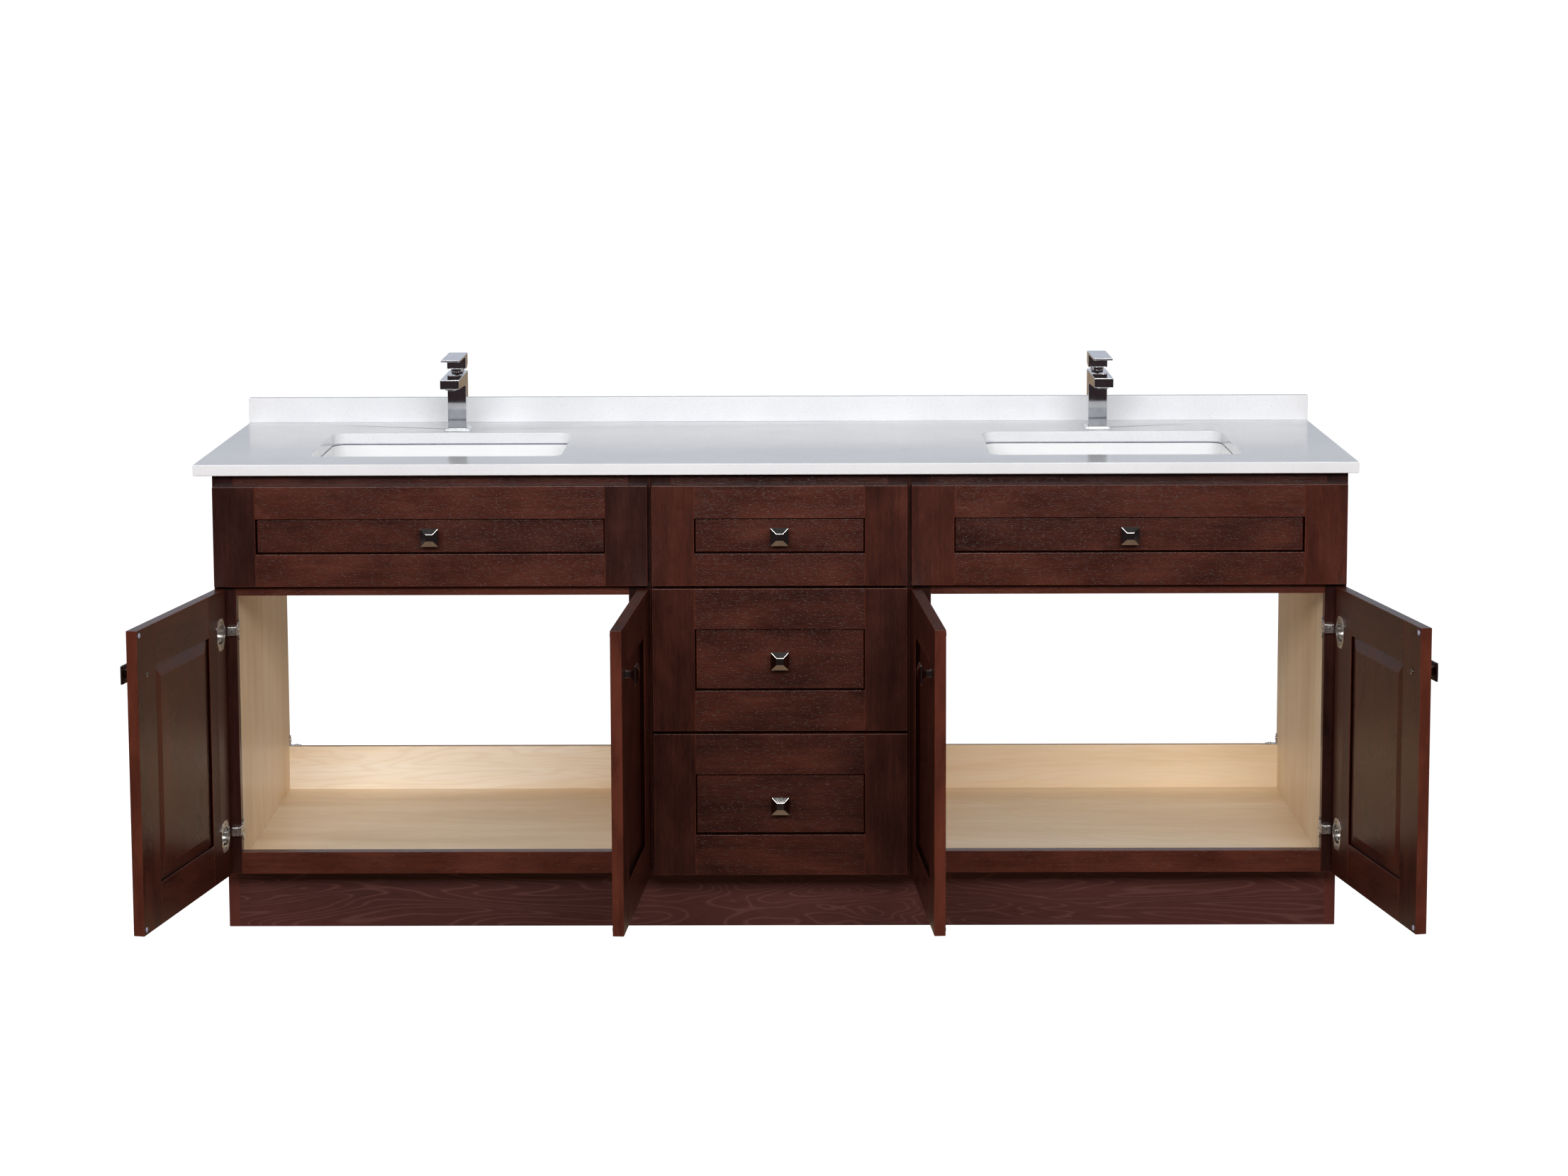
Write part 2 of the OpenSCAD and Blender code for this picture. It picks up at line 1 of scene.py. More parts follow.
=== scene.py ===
import json
import math
import random

import bmesh
import bpy
from mathutils import Matrix, Vector


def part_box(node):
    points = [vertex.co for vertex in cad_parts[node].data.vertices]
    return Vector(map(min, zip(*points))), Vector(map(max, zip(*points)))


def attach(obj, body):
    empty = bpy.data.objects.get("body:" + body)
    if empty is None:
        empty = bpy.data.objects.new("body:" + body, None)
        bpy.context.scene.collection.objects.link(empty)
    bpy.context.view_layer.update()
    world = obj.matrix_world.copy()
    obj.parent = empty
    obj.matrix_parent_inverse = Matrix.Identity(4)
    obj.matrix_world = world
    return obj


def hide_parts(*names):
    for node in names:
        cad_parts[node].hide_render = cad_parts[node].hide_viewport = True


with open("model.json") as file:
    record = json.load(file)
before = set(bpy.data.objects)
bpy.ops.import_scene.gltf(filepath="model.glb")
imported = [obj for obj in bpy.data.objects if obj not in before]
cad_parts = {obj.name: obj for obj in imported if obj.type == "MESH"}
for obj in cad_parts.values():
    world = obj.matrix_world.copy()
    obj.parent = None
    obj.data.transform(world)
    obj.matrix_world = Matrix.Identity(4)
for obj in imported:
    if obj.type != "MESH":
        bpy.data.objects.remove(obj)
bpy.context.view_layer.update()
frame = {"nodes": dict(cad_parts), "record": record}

RECORD = frame["record"]
JOINTS = {j["name"]: j for j in RECORD["behaviour"]["joints"]}
MM = 0.001
random.seed(41)


# ---------------------------------------------------------------- camera, light and floor

def make_camera():
    """The photo's viewpoint: a little above the top, nearly level, with a long lens."""
    yaw, pitch, roll = (math.radians(a) for a in (0.387, -6.255, -0.213))
    ahead = Vector((-math.sin(yaw), math.cos(yaw), 0))
    right = Vector((math.cos(yaw), math.sin(yaw), 0))
    z = Vector((0, 0, 1))
    forward = math.cos(pitch) * ahead + math.sin(pitch) * z
    up = -math.sin(pitch) * ahead + math.cos(pitch) * z
    right, up = (math.cos(roll) * right + math.sin(roll) * up,
                 -math.sin(roll) * right + math.cos(roll) * up)
    data = bpy.data.cameras.new("camera")
    data.sensor_width = 36
    data.lens = 71.34347
    data.shift_y = -0.14896
    data.clip_end = 200
    cam = bpy.data.objects.new("camera", data)
    bpy.context.scene.collection.objects.link(cam)
    m = Matrix((right, up, -forward)).transposed().to_4x4()
    m.translation = Vector((0.0451, -5.9101, 1.6251))
    cam.matrix_world = m
    bpy.context.scene.camera = cam


def area_light(name, at, towards, size, watts):
    data = bpy.data.lights.new(name, "AREA")
    data.shape = "RECTANGLE"
    data.size, data.size_y = size
    data.energy = watts
    o = bpy.data.objects.new(name, data)
    bpy.context.scene.collection.objects.link(o)
    o.location = at
    o.rotation_mode = "QUATERNION"
    o.rotation_quaternion = (Vector(towards) - Vector(at)).to_track_quat("-Z", "Y")


def make_world():
    """White to the camera. Its light is dark in front and overhead, and pale blue behind, where it turns
    warm and darker below eye level. Straight down it is brown."""
    world = bpy.data.worlds.new("studio")
    bpy.context.scene.world = world
    world.use_nodes = True
    g = Graph(world.node_tree, clear=True)
    way = g.node("ShaderNodeTexCoord").outputs["Generated"]
    x, y, z = g.split(way)
    back = g.ramp(y, [(0.0, 0.0), (0.56, 0.0), (0.80, 1.0)], remap=(-1, 1))
    colour = g.mix_colour(back, (0.032, 0.022, 0.024), (0.51, 0.545, 0.615))
    high = g.ramp(z, [(0.0, 0.0), (0.76, 0.0), (0.93, 1.0)], remap=(-1, 1))
    colour = g.mix_colour(high, colour, (0.13, 0.135, 0.13))
    level = g.ramp(z, [(0.0, 1.0), (0.44, 1.0), (0.5, 0.0)], remap=(-1, 1))
    colour = g.mix_colour(g.math("MULTIPLY", level, back), colour, (0.27, 0.195, 0.13))
    low = g.ramp(z, [(0.0, 1.0), (0.26, 1.0), (0.38, 0.0)], remap=(-1, 1))
    colour = g.mix_colour(low, colour, (0.34, 0.225, 0.15))
    lit = g.node("ShaderNodeBackground")
    g.link(colour, lit.inputs["Color"])
    seen = g.node("ShaderNodeBackground")
    seen.inputs["Color"].default_value = (1, 1, 1, 1)
    seen.inputs["Strength"].default_value = 1.05
    pick = g.node("ShaderNodeMixShader")
    g.link(g.node("ShaderNodeLightPath").outputs["Is Camera Ray"], pick.inputs[0])
    g.link(lit.outputs[0], pick.inputs[1])
    g.link(seen.outputs[0], pick.inputs[2])
    out = g.node("ShaderNodeOutputWorld")
    g.link(pick.outputs[0], out.inputs["Surface"])


# ---------------------------------------------------------------- node graphs

class Graph:
    """Short calls for wiring one node tree."""

    def __init__(self, tree, clear=False):
        self.tree = tree
        if clear:
            tree.nodes.clear()

    def node(self, kind, **settings):
        n = self.tree.nodes.new(kind)
        for k, v in settings.items():
            setattr(n, k, v)
        return n

    def link(self, a, b):
        self.tree.links.new(a, b)

    def put(self, value, socket):
        if isinstance(value, bpy.types.NodeSocket):
            self.link(value, socket)
        else:
            socket.default_value = value

    def math(self, op, a, b=0.0, c=0.0):
        n = self.node("ShaderNodeMath", operation=op)
        for value, socket in zip((a, b, c), n.inputs):
            self.put(value, socket)
        return n.outputs[0]

    def split(self, vector):
        n = self.node("ShaderNodeSeparateXYZ")
        self.link(vector, n.inputs[0])
        return n.outputs

    def scaled(self, vector, by):
        n = self.node("ShaderNodeVectorMath", operation="MULTIPLY")
        self.link(vector, n.inputs[0])
        n.inputs[1].default_value = by
        return n.outputs[0]

    def noise(self, vector, scale=1.0, detail=4.0, rough=0.55, warp=0.0):
        n = self.node("ShaderNodeTexNoise")
        self.link(vector, n.inputs["Vector"])
        n.inputs["Scale"].default_value = scale
        n.inputs["Detail"].default_value = detail
        n.inputs["Roughness"].default_value = rough
        n.inputs["Distortion"].default_value = warp
        return n.outputs["Fac"]

    def cells(self, vector, scale, output="Distance"):
        n = self.node("ShaderNodeTexVoronoi")
        self.link(vector, n.inputs["Vector"])
        n.inputs["Scale"].default_value = scale
        return n.outputs[output]

    def colours(self, value, stops):
        """A colour ramp through (place, colour) stops."""
        n = self.node("ShaderNodeValToRGB")
        bar = n.color_ramp
        while len(bar.elements) < len(stops):
            bar.elements.new(0.5)
        for e, (at, colour) in zip(bar.elements, stops):
            e.position = at
            e.color = (*colour, 1)
        self.link(value, n.inputs[0])
        return n.outputs[0]

    def ramp(self, value, stops, remap=None):
        """Piecewise curve through (place, level) stops. remap is the range of the value, if not 0 to 1."""
        if remap:
            low, high = remap
            value = self.math("MULTIPLY_ADD", value, 1 / (high - low), -low / (high - low))
        grey = self.colours(value, [(at, (level, level, level)) for at, level in stops])
        return self.math("MULTIPLY", grey, 1.0)

    def mix_colour(self, factor, a, b):
        n = self.node("ShaderNodeMix", data_type="RGBA")
        self.put(factor, n.inputs[0])
        for value, socket in ((a, n.inputs[6]), (b, n.inputs[7])):
            if not isinstance(value, bpy.types.NodeSocket) and len(value) == 3:
                value = (*value, 1)
            self.put(value, socket)
        return n.outputs[2]

    def attribute(self, name, output="Fac"):
        n = self.node("ShaderNodeAttribute", attribute_name=name)
        return n.outputs[output]

    def bump(self, height, metres):
        n = self.node("ShaderNodeBump")
        n.inputs["Distance"].default_value = metres
        n.inputs["Strength"].default_value = 1.0
        self.link(height, n.inputs["Height"])
        return n.outputs[0]


def material(name, **settings):
    m = bpy.data.materials.new(name)
    m.use_nodes = True
    g = Graph(m.node_tree, clear=True)
    s = g.node("ShaderNodeBsdfPrincipled")
    out = g.node("ShaderNodeOutputMaterial")
    g.link(s.outputs[0], out.inputs["Surface"])
    for key, value in settings.items():
        s.inputs[key.replace("_", " ")].default_value = value
    return m, g, s


def linear(*rgb):
    """Screen colour, 0 to 255, as linear light."""
    return tuple((c / 255 / 12.92) if c <= 10 else ((c / 255 + 0.055) / 1.055) ** 2.4 for c in rgb)


# ---------------------------------------------------------------- materials

def stained_wood(name, dark, mid, light):
    """Stained birch under satin lacquer. Grain runs along each board's own first axis."""
    m, g, s = material(name)
    grain = g.attribute("grain", "Vector")
    tone = g.attribute("tone")
    wear_and_highlight = g.attribute("wear_and_highlight")
    blotch = g.noise(g.scaled(grain, (10.0, 24.0, 24.0)), 1.0, 3.0, 0.5, 0.25)
    broad = g.noise(g.scaled(grain, (3.2, 7.0, 7.0)), 1.0, 2.0, 0.5, 0.4)
    streak = g.noise(g.scaled(grain, (7.0, 170.0, 170.0)), 1.0, 4.0, 0.6, 0.3)
    fibre = g.noise(g.scaled(grain, (45.0, 1000.0, 1000.0)), 1.0, 2.0, 0.6)
    flecks = g.noise(g.scaled(grain, (150.0, 900.0, 900.0)), 1.0, 1.0, 0.5)
    pores = g.ramp(flecks, [(0.0, 0.0), (0.60, 0.0), (0.70, 1.0)])
    level = g.math("ADD", g.math("MULTIPLY", blotch, 0.38), g.math("MULTIPLY", broad, 0.30))
    level = g.math("ADD", level, g.math("MULTIPLY", streak, 0.25))
    level = g.math("ADD", level, g.math("MULTIPLY_ADD", fibre, 0.30, -0.15))
    level = g.math("ADD", level, tone)
    # The near-black stop is painted shade, reached by the recess shade and the shaded face-frame stiles.
    deep = tuple(c * 0.25 for c in dark)
    colour = g.colours(level, [(0.12, deep), (0.34, dark), (0.5, mid), (0.67, light)])
    colour = g.mix_colour(g.math("MULTIPLY", pores, 0.4), colour, tuple(c * 0.45 for c in dark))
    # Lightens worn and sanded edges, and the panels' lower edges as a painted highlight.
    worn = g.math("MULTIPLY", wear_and_highlight, g.ramp(blotch, [(0.35, 0.35), (0.65, 0.75)]))
    colour = g.mix_colour(worn, colour, tuple(min(1, c * 1.5) for c in light))
    g.link(colour, s.inputs["Base Color"])
    rough = g.math("MULTIPLY_ADD", blotch, 0.14, 0.19)
    rough = g.math("ADD", rough, g.math("MULTIPLY", fibre, 0.06))
    g.link(rough, s.inputs["Roughness"])
    # Specular fades out at the painted recess shade's tone, so those faces show no reflection either.
    g.link(g.ramp(g.math("ADD", tone, 1.0), [(0.6, 0.02), (0.72, 0.35)]), s.inputs["Specular IOR Level"])
    height = g.math("SUBTRACT", g.math("MULTIPLY_ADD", streak, 0.8, fibre), g.math("MULTIPLY", pores, 0.9))
    g.link(g.bump(height, 0.00008), s.inputs["Normal"])
    return m


def contour_wood(name, dark, light, line, ends, axes, contrast, rough):
    """Rotary-cut veneer with cathedral contour lines, in object space. axes stretches it along the grain,
    and ends is the stain on its last few centimetres."""
    end_from = 0.9715
    m, g, s = material(name)
    at = g.scaled(g.node("ShaderNodeTexCoord").outputs["Object"], axes)
    hills = g.noise(at, 1.0, 2.0, 0.45, 0.8)
    wave = g.math("SINE", g.math("MULTIPLY", hills, 170.0))
    band = g.ramp(wave, [(0.0, 0.0), (0.84, 0.06), (1.0, 1.0)], remap=(-1, 1))
    broad = g.noise(at, 0.6, 3.0, 0.5, 0.4)
    fibre = g.noise(g.scaled(at, (9.0, 9.0, 9.0)), 2.0, 4.0, 0.65)
    level = g.math("ADD", g.math("MULTIPLY", broad, 0.7), g.math("MULTIPLY", fibre, 0.3))
    colour = g.colours(level, [(0.3, dark), (0.7, light)])
    x = g.split(g.node("ShaderNodeTexCoord").outputs["Object"])[0]
    end = g.math("GREATER_THAN", g.math("ABSOLUTE", x), end_from)
    colour = g.mix_colour(g.math("MULTIPLY", band, contrast), colour, line)
    colour = g.mix_colour(end, colour, ends)
    g.link(colour, s.inputs["Base Color"])
    g.link(g.math("MULTIPLY_ADD", fibre, 0.18, rough - 0.09), s.inputs["Roughness"])
    s.inputs["Specular IOR Level"].default_value = 0.4
    g.link(g.bump(g.math("ADD", fibre, g.math("MULTIPLY", band, 0.4)), 0.00012), s.inputs["Normal"])
    return m


BIRCH = (222, 193, 155), (236, 212, 178), (245, 227, 200)
CLOUDY_BIRCH = (226, 198, 160), (246, 228, 202), (252, 242, 226)


def pale_ply(name, thin, along, finished_end=None, shades=BIRCH, warm_right=False):
    """Pale birch plywood in object space: thin is the axis of its thickness and along that of its grain.
    Its edges show the plies. finished_end = (stain, distance) stains the faces that far from the middle.
    warm_right gives the boards to the right of the middle a warmer tone."""
    ply_pitch = 3.2 * MM
    m, g, s = material(name)
    where = g.node("ShaderNodeTexCoord").outputs["Object"]
    stretch = [11.0, 11.0, 11.0]
    stretch[along] = 1.5
    at = g.scaled(where, stretch)
    hills = g.noise(at, 1.0, 2.0, 0.5, 1.0)
    wave = g.math("SINE", g.math("MULTIPLY", hills, 95.0))
    band = g.ramp(wave, [(0.0, 0.0), (0.6, 0.1), (1.0, 1.0)], remap=(-1, 1))
    cloud = g.noise(at, 0.8, 3.0, 0.55, 0.5)
    fine = [240.0, 240.0, 240.0]
    fine[along] = 12.0
    fibre = g.noise(g.scaled(where, fine), 1.0, 3.0, 0.6)
    level = g.math("ADD", g.math("MULTIPLY", cloud, 0.75), g.math("MULTIPLY", fibre, 0.25))
    colour = g.colours(level, [(at, linear(*shade)) for at, shade in zip((0.34, 0.5, 0.66), shades)])
    colour = g.mix_colour(g.math("MULTIPLY", band, 0.14), colour, linear(204, 172, 132))
    normal = g.split(g.node("ShaderNodeNewGeometry").outputs["Normal"])
    edge = g.math("LESS_THAN", g.math("ABSOLUTE", normal[thin]), 0.6)
    plies = g.math("SINE", g.math("MULTIPLY", g.split(where)[thin], 2 * math.pi / ply_pitch))
    ply = g.mix_colour(g.ramp(plies, [(0.35, 0.0), (0.65, 1.0)], remap=(-1, 1)),
                       linear(214, 186, 148), linear(158, 122, 84))
    colour = g.mix_colour(edge, colour, ply)
    if warm_right:
        right = g.math("GREATER_THAN", g.split(where)[0], 0.0)
        colour = g.mix_colour(g.math("MULTIPLY", right, 0.5), colour, linear(*BIRCH[0]))
    if finished_end:
        stain, far = finished_end
        outside = g.math("GREATER_THAN", g.math("ABSOLUTE", g.split(where)[0]), far)
        facing = g.math("GREATER_THAN", g.math("ABSOLUTE", normal[0]), 0.6)
        dark = g.colours(level, [(0.3, stain[0]), (0.7, stain[1])])
        dark = g.mix_colour(g.math("MULTIPLY", band, 0.3), dark, stain[0])
        colour = g.mix_colour(g.math("MULTIPLY", outside, facing), colour, dark)
    g.link(colour, s.inputs["Base Color"])
    g.link(g.math("MULTIPLY_ADD", fibre, 0.2, 0.3), s.inputs["Roughness"])
    s.inputs["Specular IOR Level"].default_value = 0.35
    g.link(g.bump(fibre, 0.00008), s.inputs["Normal"])
    return m


def maple_board(name):
    """Clear-coated maple for the drawer boxes, with grain along each board."""
    m, g, s = material(name)
    grain = g.attribute("grain", "Vector")
    cloud = g.noise(g.scaled(grain, (3.0, 40.0, 40.0)), 1.0, 4.0, 0.55, 0.4)
    fibre = g.noise(g.scaled(grain, (20.0, 700.0, 700.0)), 1.0, 3.0, 0.6)
    level = g.math("ADD", g.math("MULTIPLY", cloud, 0.8), g.math("MULTIPLY", fibre, 0.2))
    level = g.math("ADD", level, g.attribute("tone"))
    colour = g.colours(level, [(0.35, linear(216, 190, 155)), (0.65, linear(239, 220, 192))])
    g.link(colour, s.inputs["Base Color"])
    g.link(g.math("MULTIPLY_ADD", fibre, 0.2, 0.3), s.inputs["Roughness"])
    g.link(g.bump(fibre, 0.00008), s.inputs["Normal"])
    return m


def quartz(name):
    """Polished white quartz with fine grey and clear specks."""
    m, g, s = material(name)
    where = g.node("ShaderNodeTexCoord").outputs["Object"]
    cloud = g.noise(where, 6.0, 3.0)
    base = g.colours(cloud, [(0.35, (0.795, 0.803, 0.828)), (0.65, (0.855, 0.863, 0.886))])
    grit = g.noise(where, 950.0, 2.0, 0.5)
    base = g.mix_colour(g.ramp(grit, [(0.36, 0.35), (0.5, 0.0)]), base, (0.60, 0.60, 0.63))
    which = g.cells(where, 330.0, output="Color")
    near = g.cells(where, 330.0)
    rare = g.ramp(g.split(which)[0], [(0.80, 0.0), (0.83, 1.0)])
    dot = g.ramp(near, [(0.10, 1.0), (0.26, 0.0)])
    base = g.mix_colour(g.math("MULTIPLY", g.math("MULTIPLY", rare, dot), 0.55), base, (0.36, 0.36, 0.39))
    glint = g.ramp(g.split(which)[1], [(0.86, 0.0), (0.88, 1.0)])
    base = g.mix_colour(g.math("MULTIPLY", g.math("MULTIPLY", glint, dot), 0.7), base, (0.96, 0.96, 0.97))
    g.link(base, s.inputs["Base Color"])
    g.link(g.math("MULTIPLY_ADD", grit, 0.12, 0.1), s.inputs["Roughness"])
    s.inputs["Specular IOR Level"].default_value = 0.5
    g.link(g.bump(g.noise(where, 60.0, 2.0), 0.00003), s.inputs["Normal"])
    return m


def glaze(name):
    """Vitreous white glaze with a faint unevenness."""
    m, g, s = material(name)
    where = g.node("ShaderNodeTexCoord").outputs["Object"]
    tint = g.noise(where, 9.0, 2.0)
    colour = g.colours(tint, [(0.3, (0.86, 0.865, 0.87)), (0.7, (0.90, 0.902, 0.905))])
    g.link(colour, s.inputs["Base Color"])
    g.link(g.math("MULTIPLY_ADD", tint, 0.05, 0.06), s.inputs["Roughness"])
    s.inputs["Coat Weight"].default_value = 0.4
    s.inputs["Coat Roughness"].default_value = 0.04
    g.link(g.bump(g.noise(where, 22.0, 2.0), 0.00035), s.inputs["Normal"])
    return m


def metal(name, colour, rough, brushed=0.0, spread=0.25, wave=0.0):
    """Plated or brushed metal. spread is how much its roughness varies, and wave how much it rolls."""
    m, g, s = material(name, Metallic=1.0)
    where = g.node("ShaderNodeTexCoord").outputs["Object"]
    smear = g.noise(where, 45.0, 4.0, 0.6)
    grit = g.noise(g.scaled(where, (700.0, 700.0, 60.0)), 1.0, 2.0)
    dull = tuple(c * 0.82 for c in colour)
    g.link(g.colours(smear, [(0.3, dull), (0.62, colour)]), s.inputs["Base Color"])
    level = g.math("MULTIPLY_ADD", smear, rough * spread * 2, rough * (1 - spread))
    level = g.math("ADD", level, g.math("MULTIPLY", grit, brushed * 0.2))
    g.link(level, s.inputs["Roughness"])
    roll = g.noise(where, 30.0, 1.0)
    height = g.math("ADD", g.math("MULTIPLY", grit, brushed), g.math("MULTIPLY", roll, wave))
    g.link(g.bump(height, 0.0001), s.inputs["Normal"])
    return m


def soft_clear(name):
    """Translucent soft plastic with a faint violet tint."""
    m, g, s = material(name, Roughness=0.32)
    where = g.node("ShaderNodeTexCoord").outputs["Object"]
    cloud = g.noise(where, 180.0, 3.0)
    colour = g.colours(cloud, [(0.3, linear(168, 168, 198)), (0.7, linear(205, 205, 226))])
    g.link(colour, s.inputs["Base Color"])
    s.inputs["Transmission Weight"].default_value = 0.25
    g.link(g.bump(cloud, 0.0001), s.inputs["Normal"])
    return m


def floor_paper(name):
    """White paper with a little light of its own, so that the floor meets the background unseen."""
    m, g, s = material(name, Roughness=0.6)
    where = g.node("ShaderNodeTexCoord").outputs["Object"]
    colour = g.colours(g.noise(where, 4.0, 3.0), [(0.3, (0.88, 0.88, 0.885)), (0.7, (0.9, 0.9, 0.9))])
    g.link(colour, s.inputs["Base Color"])
    s.inputs["Specular IOR Level"].default_value = 0.1
    s.inputs["Emission Color"].default_value = (1, 1, 1, 1)
    s.inputs["Emission Strength"].default_value = 0.85
    return m


# ---------------------------------------------------------------- geometry helpers

def welded_parts(node, undo=Matrix()):
    """The separate solids of a CAD node as (lowest, highest) corners, after undoing a pose."""
    o = frame["nodes"][node]
    points = [undo @ v.co for v in o.data.vertices]
    key = {}
    ident = [key.setdefault(tuple(round(c, 5) for c in v.co), len(key)) for v in o.data.vertices]
    root = list(range(len(key)))

    def find(i):
        while root[i] != i:
            root[i] = root[root[i]]
            i = root[i]
        return i

    for f in o.data.polygons:
        first = find(ident[f.vertices[0]])
        for v in f.vertices[1:]:
            root[find(ident[v])] = first
    groups = {}
    for p, i in zip(points, ident):
        groups.setdefault(find(i), []).append(p)
    boxes = [(Vector(min(p[k] for p in g) for k in range(3)),
              Vector(max(p[k] for p in g) for k in range(3))) for g in groups.values()]
    return sorted(boxes, key=lambda b: tuple(round(c, 4) for c in b[0]))


def whole(boxes):
    """The box round several boxes."""
    return (Vector(min(b[0][k] for b in boxes) for k in range(3)),
            Vector(max(b[1][k] for b in boxes) for k in range(3)))


class Build:
    """Collects solids into one mesh. Each has its own grain axes, tone and worn edges."""

    def __init__(self):
        self.bm = bmesh.new()
        self.grain = self.bm.verts.layers.float_vector.new("grain")
        self.tone = self.bm.faces.layers.float.new("tone")
        self.wear_and_highlight = self.bm.faces.layers.float.new("wear_and_highlight")

    def finish_part(self, verts, faces, along=None, tone=None, worn=()):
        """Writes a solid's grain, from its middle along its longest axis or the one given, tone and wear."""
        verts, faces = list(verts), list(faces)
        lo = Vector(min(v.co[k] for v in verts) for k in range(3))
        hi = Vector(max(v.co[k] for v in verts) for k in range(3))
        size = hi - lo
        order = sorted(range(3), key=lambda k: -size[k])
        if along is not None:
            order = [along] + [k for k in order if k != along]
        shift = Vector(random.uniform(-40, 40) for _ in range(3))
        middle = (lo + hi) / 2
        for v in verts:
            p = v.co - middle
            v[self.grain] = Vector(p[k] for k in order) + shift
        level = random.uniform(-0.05, 0.05) if tone is None else tone
        worn = set(worn)
        for f in faces:
            f[self.tone] = level
            f[self.wear_and_highlight] = 1.0 if f in worn else 0.0
            f.smooth = True

    def bevelled(self, verts, width, segments, along, tone, sharp_above=0.5):
        """Rounds the edges that turn by more than sharp_above radians, and finishes the part."""
        edges = {e for v in verts for e in v.link_edges}
        faces = {f for v in verts for f in v.link_faces}
        verts = set(verts)
        worn = []
        if width:
            edges = [e for e in edges if e.is_manifold and e.calc_face_angle(0) > sharp_above]
            made = bmesh.ops.bevel(self.bm, geom=edges, offset=width, offset_type="OFFSET", segments=segments,
                                   profile=0.5, affect="EDGES", clamp_overlap=True)
            worn = made["faces"]
            verts = {v for v in verts if v.is_valid} | set(made["verts"])
            faces = {f for v in verts for f in v.link_faces}
        self.finish_part(verts, faces, along, tone, worn)
        return verts

    def box(self, lo, hi, width=0.0, segments=2, along=None, tone=None):
        lo, hi = Vector(lo), Vector(hi)
        made = bmesh.ops.create_cube(self.bm, size=1.0)["verts"]
        for v in made:
            v.co = Vector((lo[k] + hi[k]) / 2 + v.co[k] * (hi[k] - lo[k]) for k in range(3))
        return self.bevelled(made, width, segments, along, tone)

    def skin(self, rings):
        """Four-sided faces between each ring of vertices and the next."""
        faces = []
        for one, two in zip(rings, rings[1:]):
            for i in range(len(one)):
                j = (i + 1) % len(one)
                faces.append(self.bm.faces.new((one[i], one[j], two[j], two[i])))
        return faces

    def stack(self, loops):
        """The vertices of a solid through loops of points, with flat ends."""
        rings = [[self.bm.verts.new(p) for p in loop] for loop in loops]
        faces = [self.bm.faces.new(rings[0]), self.bm.faces.new(rings[-1])] + self.skin(rings)
        bmesh.ops.recalc_face_normals(self.bm, faces=faces)
        return [v for ring in rings for v in ring]

    def prism(self, outline, axis, a, b, width=0.0, segments=2):
        """A polygon pushed from a to b along an axis. outline gives its other two coordinates, in order."""
        rest = [k for k in range(3) if k != axis]

        def at(p, w):
            q = [0.0, 0.0, 0.0]
            q[axis], q[rest[0]], q[rest[1]] = w, p[0], p[1]
            return q

        self.bevelled(self.stack([[at(p, w) for p in outline] for w in (a, b)]), width, segments, None, None)

    def turned(self, profile, centre, axis, steps=40):
        """A solid of revolution. profile lists (radius, height) along the axis."""
        rest = [k for k in range(3) if k != axis]
        rings = []
        for r, h in profile:
            ring = []
            for i in range(steps):
                a = 2 * math.pi * i / steps
                q = list(centre)
                q[axis] += h
                q[rest[0]] += r * math.cos(a)
                q[rest[1]] += r * math.sin(a)
                ring.append(self.bm.verts.new(q))
            rings.append(ring)
        faces = self.skin(rings) + [self.bm.faces.new(rings[0]), self.bm.faces.new(rings[-1])]
        bmesh.ops.recalc_face_normals(self.bm, faces=faces)
        self.finish_part([v for ring in rings for v in ring], faces)

    def loft(self, loops):
        """A closed skin through loops of equal length, whose last joins the first."""
        rings = [[self.bm.verts.new(p) for p in loop] for loop in loops]
        faces = self.skin(rings + rings[:1])
        bmesh.ops.recalc_face_normals(self.bm, faces=faces)
        self.finish_part([v for ring in rings for v in ring], faces)

    def object(self, name, mat, body, pose=Matrix(), flat_angle=40, replaces=(), slot=None):
        """Makes the piece and has it ride a body. pose takes it from where it was built to where it rests."""
        mesh = bpy.data.meshes.new(name)
        self.bm.to_mesh(mesh)
        self.bm.free()
        mesh.transform(pose)
        mesh.set_sharp_from_angle(angle=math.radians(flat_angle))
        mesh.materials.append(mat)
        o = bpy.data.objects.new(name, mesh)
        bpy.context.scene.collection.objects.link(o)
        o.modifiers.new("faces", "WEIGHTED_NORMAL").keep_sharp = True
        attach(o, body)
        if replaces:
            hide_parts(*replaces)
        return o


def dress(node, mat, bevel=0.0, segments=2):
    """Gives a CAD node its material and, if asked, rounds its edges."""
    o = frame["nodes"][node]
    o.data.materials.clear()
    o.data.materials.append(mat)
    if bevel:
        weld = o.modifiers.new("weld", "WELD")
        weld.merge_threshold = 0.00001
        round_off = o.modifiers.new("edges", "BEVEL")
        round_off.width = bevel
        round_off.segments = segments
        round_off.limit_method = "ANGLE"
        round_off.angle_limit = math.radians(40)
        o.modifiers.new("faces", "WEIGHTED_NORMAL").keep_sharp = False


def closed_pose(joint):
    """The matrix that takes a door's closed place to its stored place."""
    j = JOINTS[joint]
    shut = max(j["range_deg"], key=abs)
    at = Matrix.Translation(Vector(j["pos_m"]))
    turn = Matrix.Rotation(math.radians(-shut), 4, Vector(j["axis"]))
    return at @ turn @ at.inverted()


# ---------------------------------------------------------------- framed fronts

EDGE = 0.85 * MM        # rounding of the fronts' edges
PAINTED_RECESS_SHADE = -0.45    # tone of painted shade on the inner faces round each opening and in the panels' grooves
CUP_R = 17.5 * MM       # radius of a hinge cup
KNOB_DEEP = 25 * MM     # how far a knob stands out


